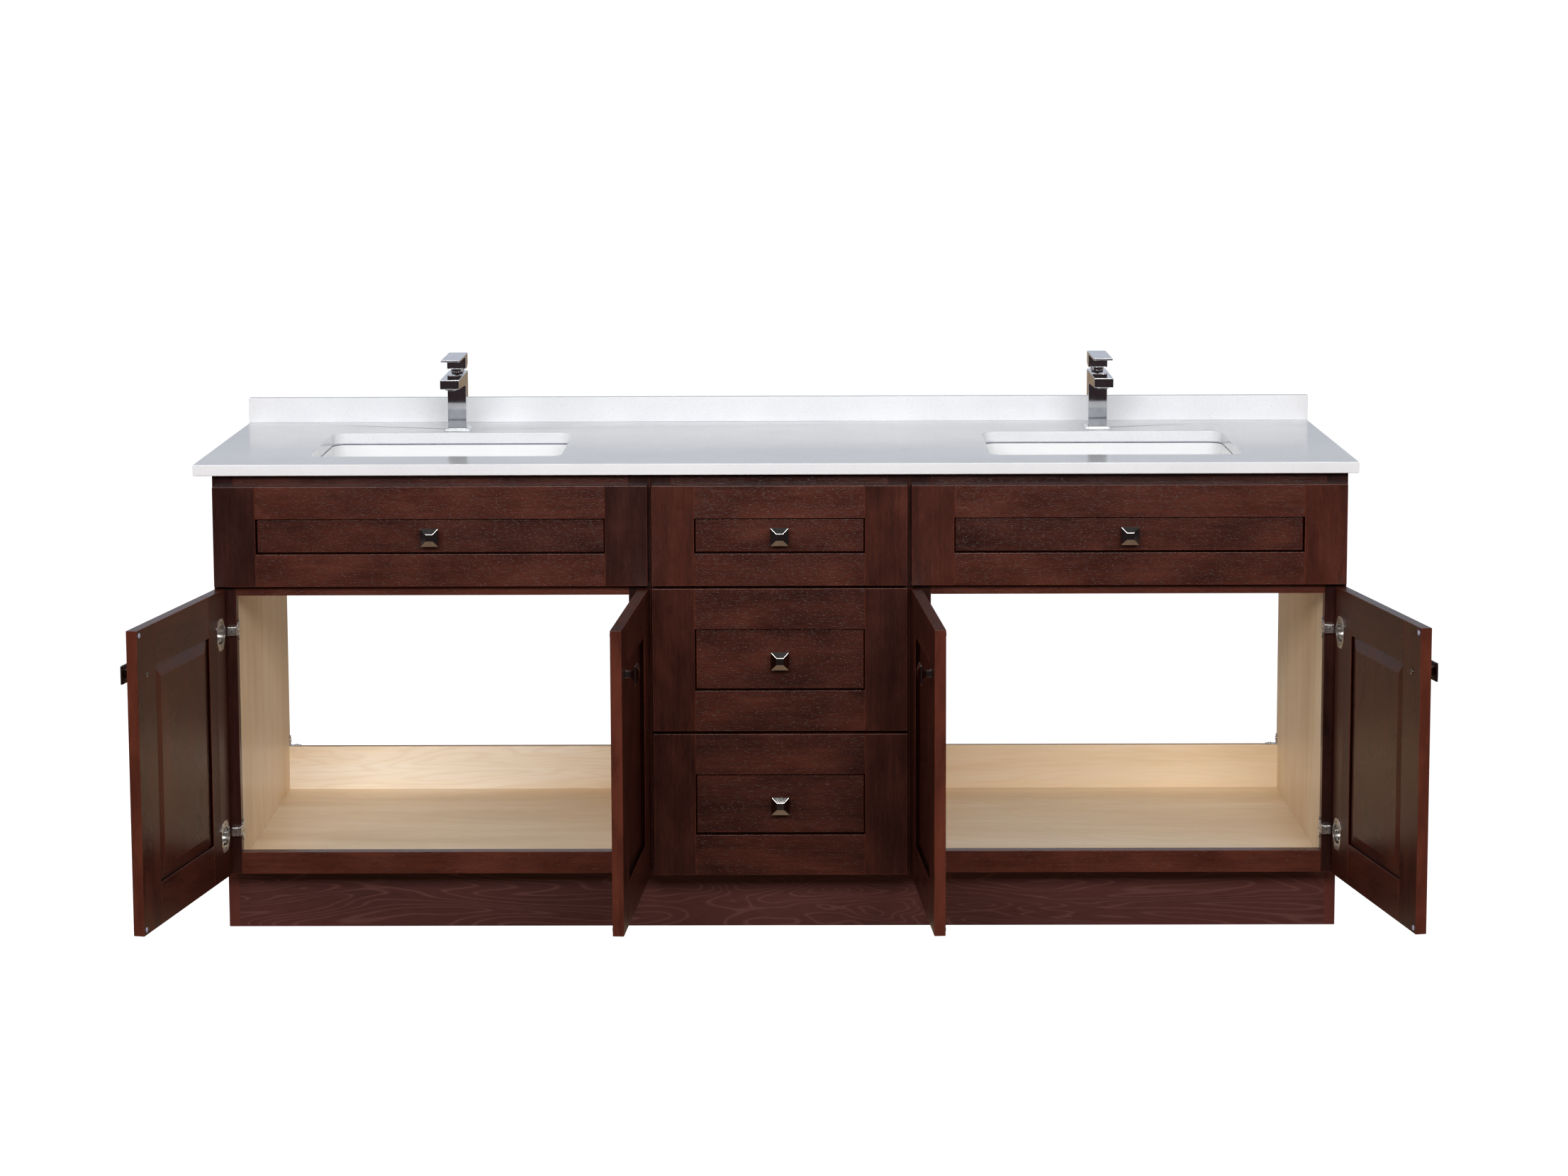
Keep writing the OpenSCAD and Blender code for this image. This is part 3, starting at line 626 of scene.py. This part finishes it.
def framed_front(b, solids, tones=(0.0, 0.0), sanded=0.0):
    """Stiles and rails from the CAD solids, with sanded outer edges and painted shade on their faces round
    the opening.
    Returns the opening."""
    lo, hi = whole(solids)
    stiles = sorted((s for s in solids if s[1].z - s[0].z > 0.95 * (hi.z - lo.z)), key=lambda s: s[0].x)
    rails = sorted((s for s in solids if s not in stiles), key=lambda s: s[0].z)
    left, right = stiles[0], stiles[-1]
    for s, out in ((left, -1), (right, 1)):
        made = b.box(s[0], s[1], EDGE, along=2, tone=tones[0] + random.uniform(-0.02, 0.02))
        for f in {f for v in made for f in v.link_faces}:
            if f.normal.x * out > 0.9:
                f[b.wear_and_highlight] = sanded
            elif f.normal.x * out < -0.9:
                # painted shade on the stile's face towards the opening
                f[b.tone] = PAINTED_RECESS_SHADE
    middle = (lo.z + hi.z) / 2
    for s in rails:
        made = b.box((left[1].x + 0.05 * MM, s[0].y, s[0].z), (right[0].x - 0.05 * MM, s[1].y, s[1].z),
                     EDGE, along=0, tone=tones[1] + random.uniform(-0.03, 0.03))
        inward = 1 if (s[0].z + s[1].z) / 2 < middle else -1
        for f in {f for v in made for f in v.link_faces}:
            if f.normal.z * inward > 0.9:
                # painted shade on the rail's face towards the opening
                f[b.tone] = PAINTED_RECESS_SHADE
            elif f.normal.z * inward > 0.2:
                f[b.wear_and_highlight] = 0.3
    return left[1].x, right[0].x, rails[0][1].z, rails[-1][0].z


def grooved_panel(b, lo, hi, opening, tone):
    """A flat panel with a groove between its field and the frame, the groove darkened as painted shade, and
    sanded edges round the field, with a painted highlight on its lower edges.
    """
    x0, x1, z0, z1 = opening
    gap = 2.6 * MM
    # The panel's back, seen in the groove, is near black as painted shade.
    b.box((lo.x, lo.y + gap, lo.z), hi, 0.3 * MM, 1, along=0, tone=PAINTED_RECESS_SHADE)
    made = b.box((x0 + gap, lo.y, z0 + gap), (x1 - gap, lo.y + 2.8 * MM, z1 - gap), 0.9 * MM,
                 along=0, tone=tone)
    for f in {f for v in made for f in v.link_faces}:
        if f.normal.y > -0.9:
            # The field's lower edges are lightened as a painted highlight, the other edges as sanding.
            f[b.wear_and_highlight] = 2.0 if f.normal.z < -0.2 else 0.5


def raised_panel(b, lo, hi, opening, bevel, field_y, tone):
    """A flat front and a bevelled raised back between lo and hi."""
    x0, x1, z0, z1 = opening
    b.box(lo, hi, 0.3 * MM, 1, along=2, tone=tone)
    gap = 1.5 * MM
    foot = hi.y - 0.5 * MM

    def loop(inset, y):
        return [(x0 + inset, y, z0 + inset), (x1 - inset, y, z0 + inset),
                (x1 - inset, y, z1 - inset), (x0 + inset, y, z1 - inset)]

    verts = b.stack([loop(gap, foot), loop(gap, foot + 1.2 * MM), loop(gap + bevel, field_y)])
    b.bevelled(verts, 0.5 * MM, 2, 2, tone, sharp_above=0.12)


def door(n, mats):
    """A door built shut and posed open: frame, raised panel, knob, hinge cups and bumper dots."""
    body = f"door_{n}"
    pose = closed_pose(f"door_{n}_hinge")
    undo = pose.inverted()
    parts = {p: f"door_{n}_{p}" for p in ("frame", "panel", "knob", "cups", "bumpers")}
    b = Build()
    solids = welded_parts(parts["frame"], undo)
    opening = framed_front(b, solids, tones=(-0.02, 0.01), sanded=0.7)
    o = b.object(f"door_{n}_frame_wood", mats["wood"], body, pose, replaces=(parts["frame"],),
                 slot="stained_wood")
    cups = welded_parts(parts["cups"], undo)
    free = 1 if (whole(solids)[0].x + whole(solids)[1].x) / 2 > JOINTS[f"door_{n}_hinge"]["pos_m"][0] else -1
    holes = Build()
    for p, q in cups:
        at = (q.x - CUP_R if free > 0 else p.x + CUP_R, whole(solids)[1].y, (p.z + q.z) / 2)
        holes.turned([(CUP_R - 0.25 * MM, -11 * MM), (CUP_R - 0.25 * MM, 3 * MM)], at, 1, 48)
    cut_from(o, holes, pose)
    lo, hi = whole(welded_parts(parts["panel"], undo))
    back = whole(solids)[1].y
    b = Build()
    raised_panel(b, lo, Vector((hi.x, lo.y + 5.7 * MM, hi.z)), opening, 20 * MM, back - 0.8 * MM, 0.02)
    b.object(f"door_{n}_panel_wood", mats["wood"], body, pose, replaces=(parts["panel"],),
             slot="stained_wood")
    knob(f"door_{n}_knob_metal", [whole(welded_parts(parts["knob"], undo))], body, mats, pose,
         (parts["knob"],))
    hinge_cups(f"door_{n}_cups_metal", cups, body, mats, pose, parts["cups"], free)
    b = Build()
    for p, q in welded_parts(parts["bumpers"], undo):
        r = (q.x - p.x) / 2
        h = q.y - p.y
        dome = [(0.98, 0), (1, 0.25), (0.9, 0.6), (0.62, 0.88), (0.2, 1)]
        b.turned([(r * 0.2, -0.2 * MM)] + [(r * across, h * up) for across, up in dome],
                 ((p.x + q.x) / 2, p.y, (p.z + q.z) / 2), 1, 28)
    b.object(f"door_{n}_bumper_dots", mats["bumper"], body, pose, 80, replaces=(parts["bumpers"],),
             slot="clear_bumper")


def screw_head(b, centre, axis, r, rise):
    """A domed screw head, rising along an axis by rise, which may be negative."""
    b.turned([(r * 0.3, -rise * 0.2), (r, 0), (r, rise * 0.35), (r * 0.82, rise * 0.8), (r * 0.34, rise)],
             centre, axis, 28)


def cross_cut(b, centre, axis, r, depth):
    """The cross of a screw, as two slim bars, dark as painted shade in the recess."""
    rest = [k for k in range(3) if k != axis]
    for k, other in (rest, rest[::-1]):
        lo, hi = list(centre), list(centre)
        lo[k] -= r * 0.55
        hi[k] += r * 0.55
        lo[other] -= r * 0.13
        hi[other] += r * 0.13
        lo[axis] -= depth
        hi[axis] += depth
        b.box(lo, hi)


def knob(name, boxes, body, mats, pose, nodes):
    """Square knobs with a stem, a thin rim and a flat-topped pyramid, and the screw behind each."""
    b, cut = Build(), Build()
    for lo, hi in boxes:
        cx, cz = (lo.x + hi.x) / 2, (lo.z + hi.z) / 2
        half = (hi.x - lo.x) / 2 / MM
        foot = lo.y + KNOB_DEEP

        def square(s, y):
            return [(cx - s, y, cz - s), (cx + s, y, cz - s), (cx + s, y, cz + s), (cx - s, y, cz + s)]

        # (half width, height) in mm, from the foot to the flat top
        levels = [(6.5, 0), (6.5, 1.8), (5.4, 4.4), (5.1, 9.0), (5.9, 13.0), (8.6, 16.4), (half - 1.4, 17.0),
                  (half, 17.8), (half, 20.4), (half * 0.38, 25.0)]
        verts = b.stack([square(s * MM, foot - d * MM) for s, d in levels])
        b.bevelled(verts, 0.6 * MM, 3, None, 0.0, sharp_above=0.3)
        head = hi.y - 2 * MM
        b.turned([(2 * MM, 0), (2 * MM, head - foot + 0.5 * MM)], (cx, foot - 0.5 * MM, cz), 1, 20)
        screw_head(b, (cx, head, cz), 1, 4.3 * MM, 1.9 * MM)
        cross_cut(cut, (cx, hi.y - 0.15 * MM, cz), 1, 4.3 * MM, 0.12 * MM)
    b.object(name, mats["knob"], body, pose, 25, replaces=nodes, slot="dark_nickel")
    cut.object(name.replace("_metal", "_screw_cross"), mats["shade"], body, pose, slot="dark_nickel")


def hinge_flange(b, cx, face, cz):
    """The pressed plate round a cup: eight-sided, with the cup's round mouth in the middle."""
    half_wide, half_tall, steps = 17.2, 28, 72

    def reach(a):
        """How far out the outline is: the nearest of the sides, the ends and the cut corners."""
        c, t = abs(math.cos(a)), abs(math.sin(a))
        return min(half_wide / max(c, 0.001), half_tall / max(t, 0.001), 378 / (15.5 * c + 8.8 * t))

    def loop(inset, mouth, rise):
        ring = []
        for i in range(steps):
            a = 2 * math.pi * i / steps
            d = (mouth if mouth else reach(a) - inset) * MM
            ring.append((cx + d * math.cos(a), face + rise * MM, cz + d * math.sin(a)))
        return ring

    b.loft([loop(0, 0, 0.05), loop(0, 0, 0.7), loop(0.3, 0, 1.05), loop(0, 16.6, 1.05), loop(0, 16.35, 0.6),
            loop(0, 16.35, 0.05)])


def cut_from(o, tool, pose=Matrix()):
    """Cuts a build's solids out of a piece."""
    cutter = tool.object(f"{o.name}_cut", o.data.materials[0], "cabinet", pose)
    name, mesh = o.data.name, o.data
    o.modifiers.clear()
    cut = o.modifiers.new("cut", "BOOLEAN")
    cut.operation, cut.solver, cut.use_self, cut.object = "DIFFERENCE", "EXACT", True, cutter
    bpy.context.view_layer.update()
    result = bpy.data.meshes.new_from_object(o.evaluated_get(bpy.context.evaluated_depsgraph_get()))
    result.set_sharp_from_angle(angle=math.radians(40))
    o.modifiers.clear()
    o.data = result
    bpy.data.objects.remove(cutter)
    bpy.data.meshes.remove(mesh)
    result.name = name
    o.modifiers.new("faces", "WEIGHTED_NORMAL").keep_sharp = True


def hinge_cups(name, boxes, body, mats, pose, node, side):
    """The cups sunk in a door, with their lips, plates and screws, the links inside and the tongue. side is
    1 where the door's free edge is towards +X, and -1 where it is not."""
    b, cut = Build(), Build()
    for lo, hi in boxes:
        cz = (lo.z + hi.z) / 2
        r = CUP_R
        cx = hi.x - r if side > 0 else lo.x + r
        face = hi.y - 1.35 * MM
        b.turned([(r - 0.3 * MM, -10.9 * MM), (r - 0.3 * MM, -0.2 * MM), (r, 0), (r, 0.7 * MM),
                  (r - 0.5 * MM, 1.0 * MM), (r - 1.0 * MM, 0.9 * MM), (r - 1.1 * MM, -9.6 * MM),
                  (2 * MM, -9.8 * MM)], (cx, face, cz), 1, 44)
        hinge_flange(b, cx, face, cz)
        for s in (-1, 1):
            for k, w in ((24.5, 4.2), (27.2, 2.6)):
                z0, z1 = sorted((cz + s * (k - 1.6) * MM, cz + s * (k + 0.8) * MM))
                b.box((cx - w * MM, face + 0.3 * MM, z0), (cx + w * MM, face + 1.3 * MM, z1), 0.3 * MM)
            at = (cx, face + 0.75 * MM, cz + s * 21.5 * MM)
            screw_head(b, at, 1, 3.3 * MM, 0.6 * MM)
            cross_cut(cut, (at[0], face + 1.34 * MM, at[2]), 1, 3.3 * MM, 0.06 * MM)
        x0, x1 = sorted((cx - side * 21.3 * MM, cx - side * 12 * MM))
        b.box((x0, face, cz - 7.6 * MM), (x1, face + 0.95 * MM, cz + 7.6 * MM), 0.35 * MM)
        for dz in (-11.5, 11.5):
            z0 = cz + dz * MM
            b.box((cx - 9 * MM, face - 9.6 * MM, z0 - 1.2 * MM),
                  (cx + 9 * MM, face - 1.5 * MM, z0 + 1.2 * MM), 0.4 * MM)
        for dx, dy in ((-side * 7.5, -3.2), (side * 8.5, -7.6)):
            for low, high in ((-12, -8.7), (8.7, 12)):
                b.turned([(1.5 * MM, low * MM), (1.5 * MM, high * MM)],
                         (cx + dx * MM, face + dy * MM, cz), 2, 18)
    b.object(name, mats["nickel"], body, pose, 35, replaces=(node,), slot="nickel")
    cut.object(name.replace("_metal", "_screw_cross"), mats["shade"], body, pose, slot="nickel")


def left_of_opening(x):
    """Whether the hinges nearest to x are on the left of their opening, as those of doors 1 and 3 are."""
    return min((1, 2, 3, 4), key=lambda n: abs(x - JOINTS[f"door_{n}_hinge"]["pos_m"][0])) in (1, 3)


def hinge_plates(mats):
    """The frame half of each hinge: a pressed arm over the stile's face and a plate round its edge."""
    b, cut = Build(), Build()
    for lo, hi in welded_parts("hinge_plates"):
        cz = (lo.z + hi.z) / 2
        s = 1 if left_of_opening((lo.x + hi.x) / 2) else -1
        edge = hi.x - 3.5 * MM if s > 0 else lo.x + 3.5 * MM
        face = lo.y + 9.5 * MM
        deep = (hi.y - face) / MM

        def slab(across, along_y, along_z, rounding):
            """A rounded box, in mm from the stile's inner edge, its face and the hinge's middle."""
            x0, x1 = sorted(edge + s * a * MM for a in across)
            (y0, y1), (z0, z1) = along_y, along_z
            b.box((x0, face + y0 * MM, cz + z0 * MM), (x1, face + y1 * MM, cz + z1 * MM), rounding * MM, 3)

        slab((-15.9, 0.2), (-9.2, -0.3), (-7.9, 7.9), 1.2)
        slab((-0.4, 1.4), (-9.2, 1.6), (-7.9, 7.9), 0.7)
        slab((0.05, 2.0), (1.0, deep - 1.2), (-13.9, 13.9), 0.8)
        for z in ((-12.6, -7.2), (7.2, 12.6)):
            slab((1.6, 3.3), (2.0, deep - 3), z, 0.7)
        for k in (-1, 1):
            slab((1.6, 3.3), (6.2, deep - 6), sorted((k * 13, k * 18.9)), 0.8)
            at = (edge + s * 2.0 * MM, face + 12 * MM, cz + k * 15.5 * MM)
            b.turned([(1.9 * MM, -0.4 * MM), (1.9 * MM, 0.3 * MM), (1.4 * MM, 0.5 * MM)][::s], at, 0, 20)
        screw_head(b, (edge + s * 2.0 * MM, face + 10 * MM, cz), 0, 4.0 * MM, s * 1.4 * MM)
        cross_cut(cut, (edge + s * 3.32 * MM, face + 10 * MM, cz), 0, 4 * MM, 0.1 * MM)
        cx = edge - s * 7.6 * MM
        top = face - 9.2 * MM
        for r0, r1, rise in ((5.6, 5.0, 0.2), (3.1, 2.7, 0.3)):
            b.turned([(r0 * MM, 0.2 * MM), (r0 * MM, -rise * 0.5 * MM), (r1 * MM, -rise * MM)],
                     (cx, top, cz), 1, 8 if r0 > 5 else 28)
        cross_cut(cut, (cx, top - 0.3 * MM, cz), 1, 2.9 * MM, 0.06 * MM)
        # Dark discs on the arm's holes: painted shade.
        for dx in (-5.9, 5.9):
            for dz in (-5.2, 5.2):
                cut.turned([(0.9 * MM, 0.1 * MM), (0.9 * MM, -0.05 * MM)],
                           (cx + dx * MM, top, cz + dz * MM), 1, 14)
    b.object("hinge_plates_metal", mats["nickel"], "cabinet", flat_angle=35, replaces=("hinge_plates",),
             slot="nickel")
    cut.object("hinge_plates_recesses", mats["shade"], "cabinet", slot="nickel")


def flat_front(name, node, body, mats, tones, panel_tone):
    """A fixed or drawer front: a frame round a grooved flat panel, which is thinner than the frame."""
    solids = welded_parts(node)
    depth = max(s[1].y - s[0].y for s in solids)
    members = [s for s in solids if s[1].y - s[0].y > 0.9 * depth]
    panel = next(s for s in solids if s not in members)
    b = Build()
    opening = framed_front(b, members, tones)
    grooved_panel(b, panel[0], panel[1], opening, panel_tone)
    b.object(name, mats["wood"], body, replaces=(node,), slot="stained_wood")


def drawer(n, mats):
    body = f"drawer_{n}"
    # Drawers 2 and 3 are toned darker as painted shadow of the open doors.
    stile, rail, middle = {1: (-0.04, 0.02, 0.0), 2: (-0.07, -0.05, -0.01), 3: (-0.08, -0.06, -0.05)}[n]
    flat_front(f"drawer_{n}_front_wood", f"drawer_{n}_front", body, mats, (stile, rail), middle)
    b = Build()
    for lo, hi in welded_parts(f"drawer_{n}_box"):
        size = hi - lo
        thin = min(range(3), key=lambda k: size[k])
        b.box(lo, hi, 0.8 * MM, along={0: 1, 1: 0, 2: 1}[thin])
    b.object(f"drawer_{n}_box_maple", mats["maple"], body, replaces=(f"drawer_{n}_box",), slot="maple")
    dress(f"drawer_{n}_runners", mats["zinc"], 0.4 * MM)
    knob(f"drawer_{n}_knob_metal", [whole(welded_parts(f"drawer_{n}_knob"))], body, mats, Matrix(),
         (f"drawer_{n}_knob",))


def face_frame(name, mats):
    """Dark stiles, darkened as painted shade beside the open doors, paler low rails and a darker top rail."""
    mid_height = 0.7
    b = Build()
    solids = welded_parts(name)
    lo, hi = whole(solids)
    for p, q in solids:
        stile = q.z - p.z > 0.9 * (hi.z - lo.z)
        # The stiles' low tone is painted shade beside the open doors.
        tone = -0.20 if stile else (0.12 if q.z < mid_height else -0.06)
        b.box(p, q, 0.7 * MM, along=2 if stile else 0, tone=tone + random.uniform(-0.03, 0.03))
    b.object(f"{name}_wood", mats["wood"], "cabinet", replaces=(name,), slot="stained_wood")


# ---------------------------------------------------------------- sinks and taps

def rounded(cx, cy, w, l, r, z, per_corner=10):
    """A loop round a rectangle with round corners."""
    loop = []
    for k, (sx, sy) in enumerate(((1, 1), (-1, 1), (-1, -1), (1, -1))):
        for i in range(per_corner + 1):
            a = math.pi / 2 * (k + i / per_corner)
            loop.append((cx + sx * (w / 2 - r) + r * math.cos(a), cy + sy * (l / 2 - r) + r * math.sin(a), z))
    return loop


def sink(side, mats):
    """A bowl: in over the rim, down to the drain and back up outside. A dark ring in its seal is painted
    shade in the joint.
    """
    node = f"sink_{side}"
    lo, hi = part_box(node)
    cx, cy = (lo.x + hi.x) / 2, (lo.y + hi.y) / 2
    lip, thick, draft, fillet, drain = 14, 9, 11, 34, 22.25
    w, l, r = hi.x - lo.x - 2 * lip * MM, hi.y - lo.y - 2 * lip * MM, 24 * MM
    top, bottom = hi.z, lo.z
    deep = (top - bottom) / MM - 20
    wall = -1 - 2 * draft
    flat = wall - 2 * fillet

    def ring(out, rounder, drop):
        """A loop in mm: out wider than the opening, rounder at its corners, and drop below the top."""
        return rounded(cx, cy, w + out * MM, l + out * MM, r + rounder * MM, top - drop * MM)

    def circle(radius, z):
        return rounded(cx, cy, 2 * radius * MM, 2 * radius * MM, radius * MM, z)

    def turn(i):
        """The inset of the fillet and the sine of its slope, at i eighths of its quarter turn."""
        a = math.pi / 2 * i / 8
        return fillet * (1 - math.cos(a)), math.sin(a)

    loops = [ring(2 * lip, 4, 1), ring(2 * lip - 2, 4, 0.05), ring(5, 2.5, 0.05), ring(5, 2.5, 2.1),
             ring(0.8, 0, 2.4), ring(-1, 0, 12)]
    for t in (0.25, 0.5, 0.75, 1):
        loops.append(ring(-1 - 2 * draft * t, 6 * t, 12 + (deep - 12 - fillet) * t))
    for i in range(1, 9):
        inset, rise = turn(i)
        loops.append(ring(wall - 2 * inset, 6 + i, deep - fillet + (fillet - 3) * rise))
    for t in (0.35, 0.65, 0.85, 0.95):
        ww, ll = (d + flat * MM + (2 * drain * MM - d - flat * MM) * t for d in (w, l))
        loops.append(rounded(cx, cy, ww, ll, min(ww, ll) / 2 * (0.35 + 0.65 * t),
                             top - (deep - 3 * (1 - t)) * MM))
    loops += [circle(drain + 1, top - (deep + 0.4) * MM), circle(drain, top - (deep + 3) * MM),
              circle(drain, bottom + 1 * MM), circle(drain + 1, bottom), circle(37, bottom),
              circle(38, bottom + 2 * MM), circle(40, bottom + 9 * MM),
              ring(flat + 2 * thick, 20, deep + thick)]
    for i in range(7, -1, -1):
        inset, rise = turn(i)
        loops.append(ring(wall + 2 * thick - 2 * inset, 14, deep - fillet + (fillet + thick) * rise))
    loops += [ring(2 * thick, 9, 18), ring(2 * thick + 2, 9, 13), ring(2 * lip - 3, 4, 12),
              ring(2 * lip, 4, 10.5)]
    b = Build()
    b.loft(loops)
    b.object(f"{node}_bowl", mats["glaze"], "cabinet", flat_angle=70, replaces=(node,), slot="sink_glaze")
    b = Build()
    b.loft([ring(4, 2, 0.02), ring(4, 2, 1.2), ring(0.8, 0.4, 1.2), ring(0.8, 0.4, 0.02)])
    b.object(f"{node}_seal", mats["seal"], "cabinet", flat_angle=50, slot="clear_bumper")
    b = Build()
    # A dark ring in the joint under the countertop: painted shade.
    b.loft([ring(4.4, 2.2, 0.2), ring(4.4, 2.2, 1.95), ring(1.4, 0.7, 1.95), ring(1.4, 0.7, 0.2)])
    b.object(f"{node}_painted_shade_ring", mats["shade"], "cabinet", slot="clear_bumper")


def tap(side, mats):
    """A square column and spout on a stepped foot, its outlet, and the lever with a socket for the stem."""
    lo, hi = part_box(f"tap_{side}_body")
    cx = (lo.x + hi.x) / 2
    cy = hi.y - 24 * MM
    base, top, tip = lo.z, hi.z, lo.y
    w = 17.5 * MM
    b = Build()
    for half, low, high, rounding in ((24, 0, 3.9, 0.9), (22, 3.2, 6.5, 1.4)):
        half *= MM
        b.box((cx - half, cy - half, base + low * MM), (cx + half, cy + half, base + high * MM),
              rounding * MM, 3)
    spout_low = top - 1 * MM - 17.5 * MM
    profile = [(cy + w, base + 5 * MM), (cy + w, top), (cy - w + 1 * MM, top), (tip, top - 1 * MM),
               (tip, spout_low), (cy - w, top - 24 * MM), (cy - w, base + 5 * MM)]
    b.prism(profile, 0, cx - w, cx + w, 1.1 * MM, 3)
    out_y = tip + 19 * MM
    low = spout_low - 3 * MM
    outlet = ((9.0, 1.2), (9.2, 0.2), (10.4, 0), (11, 0.5), (11, 4.5))
    b.turned([(r * MM, h * MM) for r, h in outlet], (cx, out_y, low), 2, 40)
    collar = ((14.2, -0.4), (14.2, 0.1), (13.6, 0.35), (13.0, 0.35))
    b.turned([(r * MM, h * MM) for r, h in collar], (cx, cy, top), 2, 48)
    b.object(f"tap_{side}_body_chrome", mats["chrome"], "cabinet", flat_angle=35,
             replaces=(f"tap_{side}_body",), slot="chrome")
    # The outlet's insert, dark as painted shade in the aerator's holes.
    b = Build()
    b.turned([(9 * MM, 0), (9 * MM, 0.6 * MM)], (cx, out_y, low + 0.9 * MM), 2, 32)
    mesh_r, pitch = 9, 2.4
    for i in range(-3, 4):
        half = math.sqrt(mesh_r ** 2 - (i * pitch) ** 2) * 0.96 * MM
        b.box((cx - half, out_y + (i * pitch - 0.25) * MM, low + 0.35 * MM),
              (cx + half, out_y + (i * pitch + 0.25) * MM, low + 1.0 * MM), 0.08 * MM, 1)
    b.object(f"tap_{side}_outlet_mesh", mats["shade"], "cabinet", slot="chrome")
    lo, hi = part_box(f"tap_{side}_lever")
    back = hi.y
    b = Build()
    block = [(back, lo.z + 6.6 * MM), (back, hi.z), (lo.y, hi.z), (lo.y, hi.z - 4 * MM),
             (back - 2 * w, hi.z - 4.6 * MM), (back - 2 * w, lo.z), (back - w + 1 * MM, lo.z)]
    b.prism(block, 0, cx - w, cx + w, 0.9 * MM, 3)
    o = b.object(f"tap_{side}_lever_chrome", mats["chrome"], f"tap_{side}_handle", flat_angle=35,
                 replaces=(f"tap_{side}_lever",), slot="chrome")
    socket = Build()
    socket.box((cx - 4.4 * MM, cy - 9 * MM, lo.z - 1 * MM), (cx + 4.4 * MM, cy + 9 * MM, lo.z + 19 * MM))
    socket.turned([(2.15 * MM, -12.5 * MM), (2.15 * MM, 12.5 * MM)], (cx, cy, lo.z + 12 * MM), 0, 24)
    cut_from(o, socket)
    dress(f"tap_{side}_stem", mats["chrome"])
    dress(f"tap_{side}_shank", mats["brass"])


# ---------------------------------------------------------------- the scene

def main():
    scene = bpy.context.scene
    scene.view_settings.view_transform = "Standard"
    make_camera()
    make_world()
    area_light("front", (0.0, -5.5, 2.88), (0.0, -0.2, 0.4), (5.0, 1.15), 288)
    area_light("left", (-4.2, -2.2, 2.9), (0.0, -0.3, 0.5), (1.7, 1.7), 50)
    area_light("right", (4.2, -2.2, 2.9), (0.0, -0.3, 0.5), (1.7, 1.7), 38)

    mats = {
        "wood": stained_wood("stained_wood", (0.028, 0.0062, 0.0040), (0.058, 0.0128, 0.0072),
                             (0.100, 0.0235, 0.0125)),
        "toe": contour_wood("toe_veneer", (0.042, 0.0108, 0.0088), (0.080, 0.0198, 0.0158),
                            (0.150, 0.0600, 0.0520), (0.095, 0.0205, 0.0145), (1.8, 9.0, 10.0), 0.4, 0.42),
        "maple": maple_board("maple_board"),
        "side": pale_ply("ply_sides", 0, 2, ((linear(48, 24, 20), linear(84, 40, 31)), 0.97)),
        "case_side": pale_ply("ply_case_sides", 0, 2),
        "floor": pale_ply("ply_floors", 2, 0),
        "rail": pale_ply("ply_rails", 1, 0, shades=CLOUDY_BIRCH, warm_right=True),
        "quartz": quartz("white_quartz"),
        "glaze": glaze("white_glaze"),
        "seal": soft_clear("seal_bead"),
        "chrome": metal("bright_chrome", (0.86, 0.87, 0.89), 0.045, spread=0.4),
        "knob": metal("dark_nickel", (0.43, 0.415, 0.40), 0.085, spread=0.3),
        "nickel": metal("plated_nickel", (0.66, 0.64, 0.62), 0.24, brushed=0.3, wave=0.8),
        "zinc": metal("bright_zinc", (0.70, 0.71, 0.73), 0.33, brushed=0.5),
        "brass": metal("plated_tail", (0.62, 0.58, 0.50), 0.3, brushed=0.4),
        "shade": metal("recess_shade", (0.05, 0.05, 0.052), 0.5),
        "bumper": soft_clear("bumper_clear"),
    }

    for n in (1, 2, 3, 4):
        door(n, mats)
    for n in (1, 2, 3):
        drawer(n, mats)
    for side, tones, panel_tone in (("left", (-0.14, 0.03), -0.01), ("right", (-0.01, 0.02), 0.01)):
        node = f"false_front_{side}"
        flat_front(f"{node}_wood", node, "cabinet", mats, tones, panel_tone)
        sink(side, mats)
        tap(side, mats)
    knob("false_front_knobs_metal", welded_parts("false_front_knobs"), "cabinet", mats, Matrix(),
         ("false_front_knobs",))
    for name in ("face_frame_left", "face_frame_mid", "face_frame_right"):
        face_frame(name, mats)
    hinge_plates(mats)

    dress("countertop", mats["quartz"], 1.6 * MM, 3)
    dress("backsplash", mats["quartz"], 1.3 * MM, 3)
    for node, mat, rounding in (
            ("sink_case_sides", "side", 0.6), ("sink_case_floors", "floor", 0.4),
            ("sink_case_rails", "rail", 0.6), ("drawer_case", "case_side", 0.5),
            ("drawer_case_back", "rail", 0.4), ("toe_kick", "toe", 0.5), ("case_runners", "zinc", 0.3),
            ("corner_brackets", "nickel", 0.3), ("sink_clips", "zinc", 0.4)):
        dress(node, mats[mat], rounding * MM)

    mesh = bpy.data.meshes.new("studio_floor")
    mesh.from_pydata([(-30, -30, 0), (30, -30, 0), (30, 60, 0), (-30, 60, 0)], [], [(0, 1, 2, 3)])
    mesh.materials.append(floor_paper("floor_paper"))
    ground = bpy.data.objects.new("studio_floor", mesh)
    scene.collection.objects.link(ground)
    ground.location.z = -0.5 * MM
    ground.visible_glossy = False
    ground.visible_diffuse = False


main()
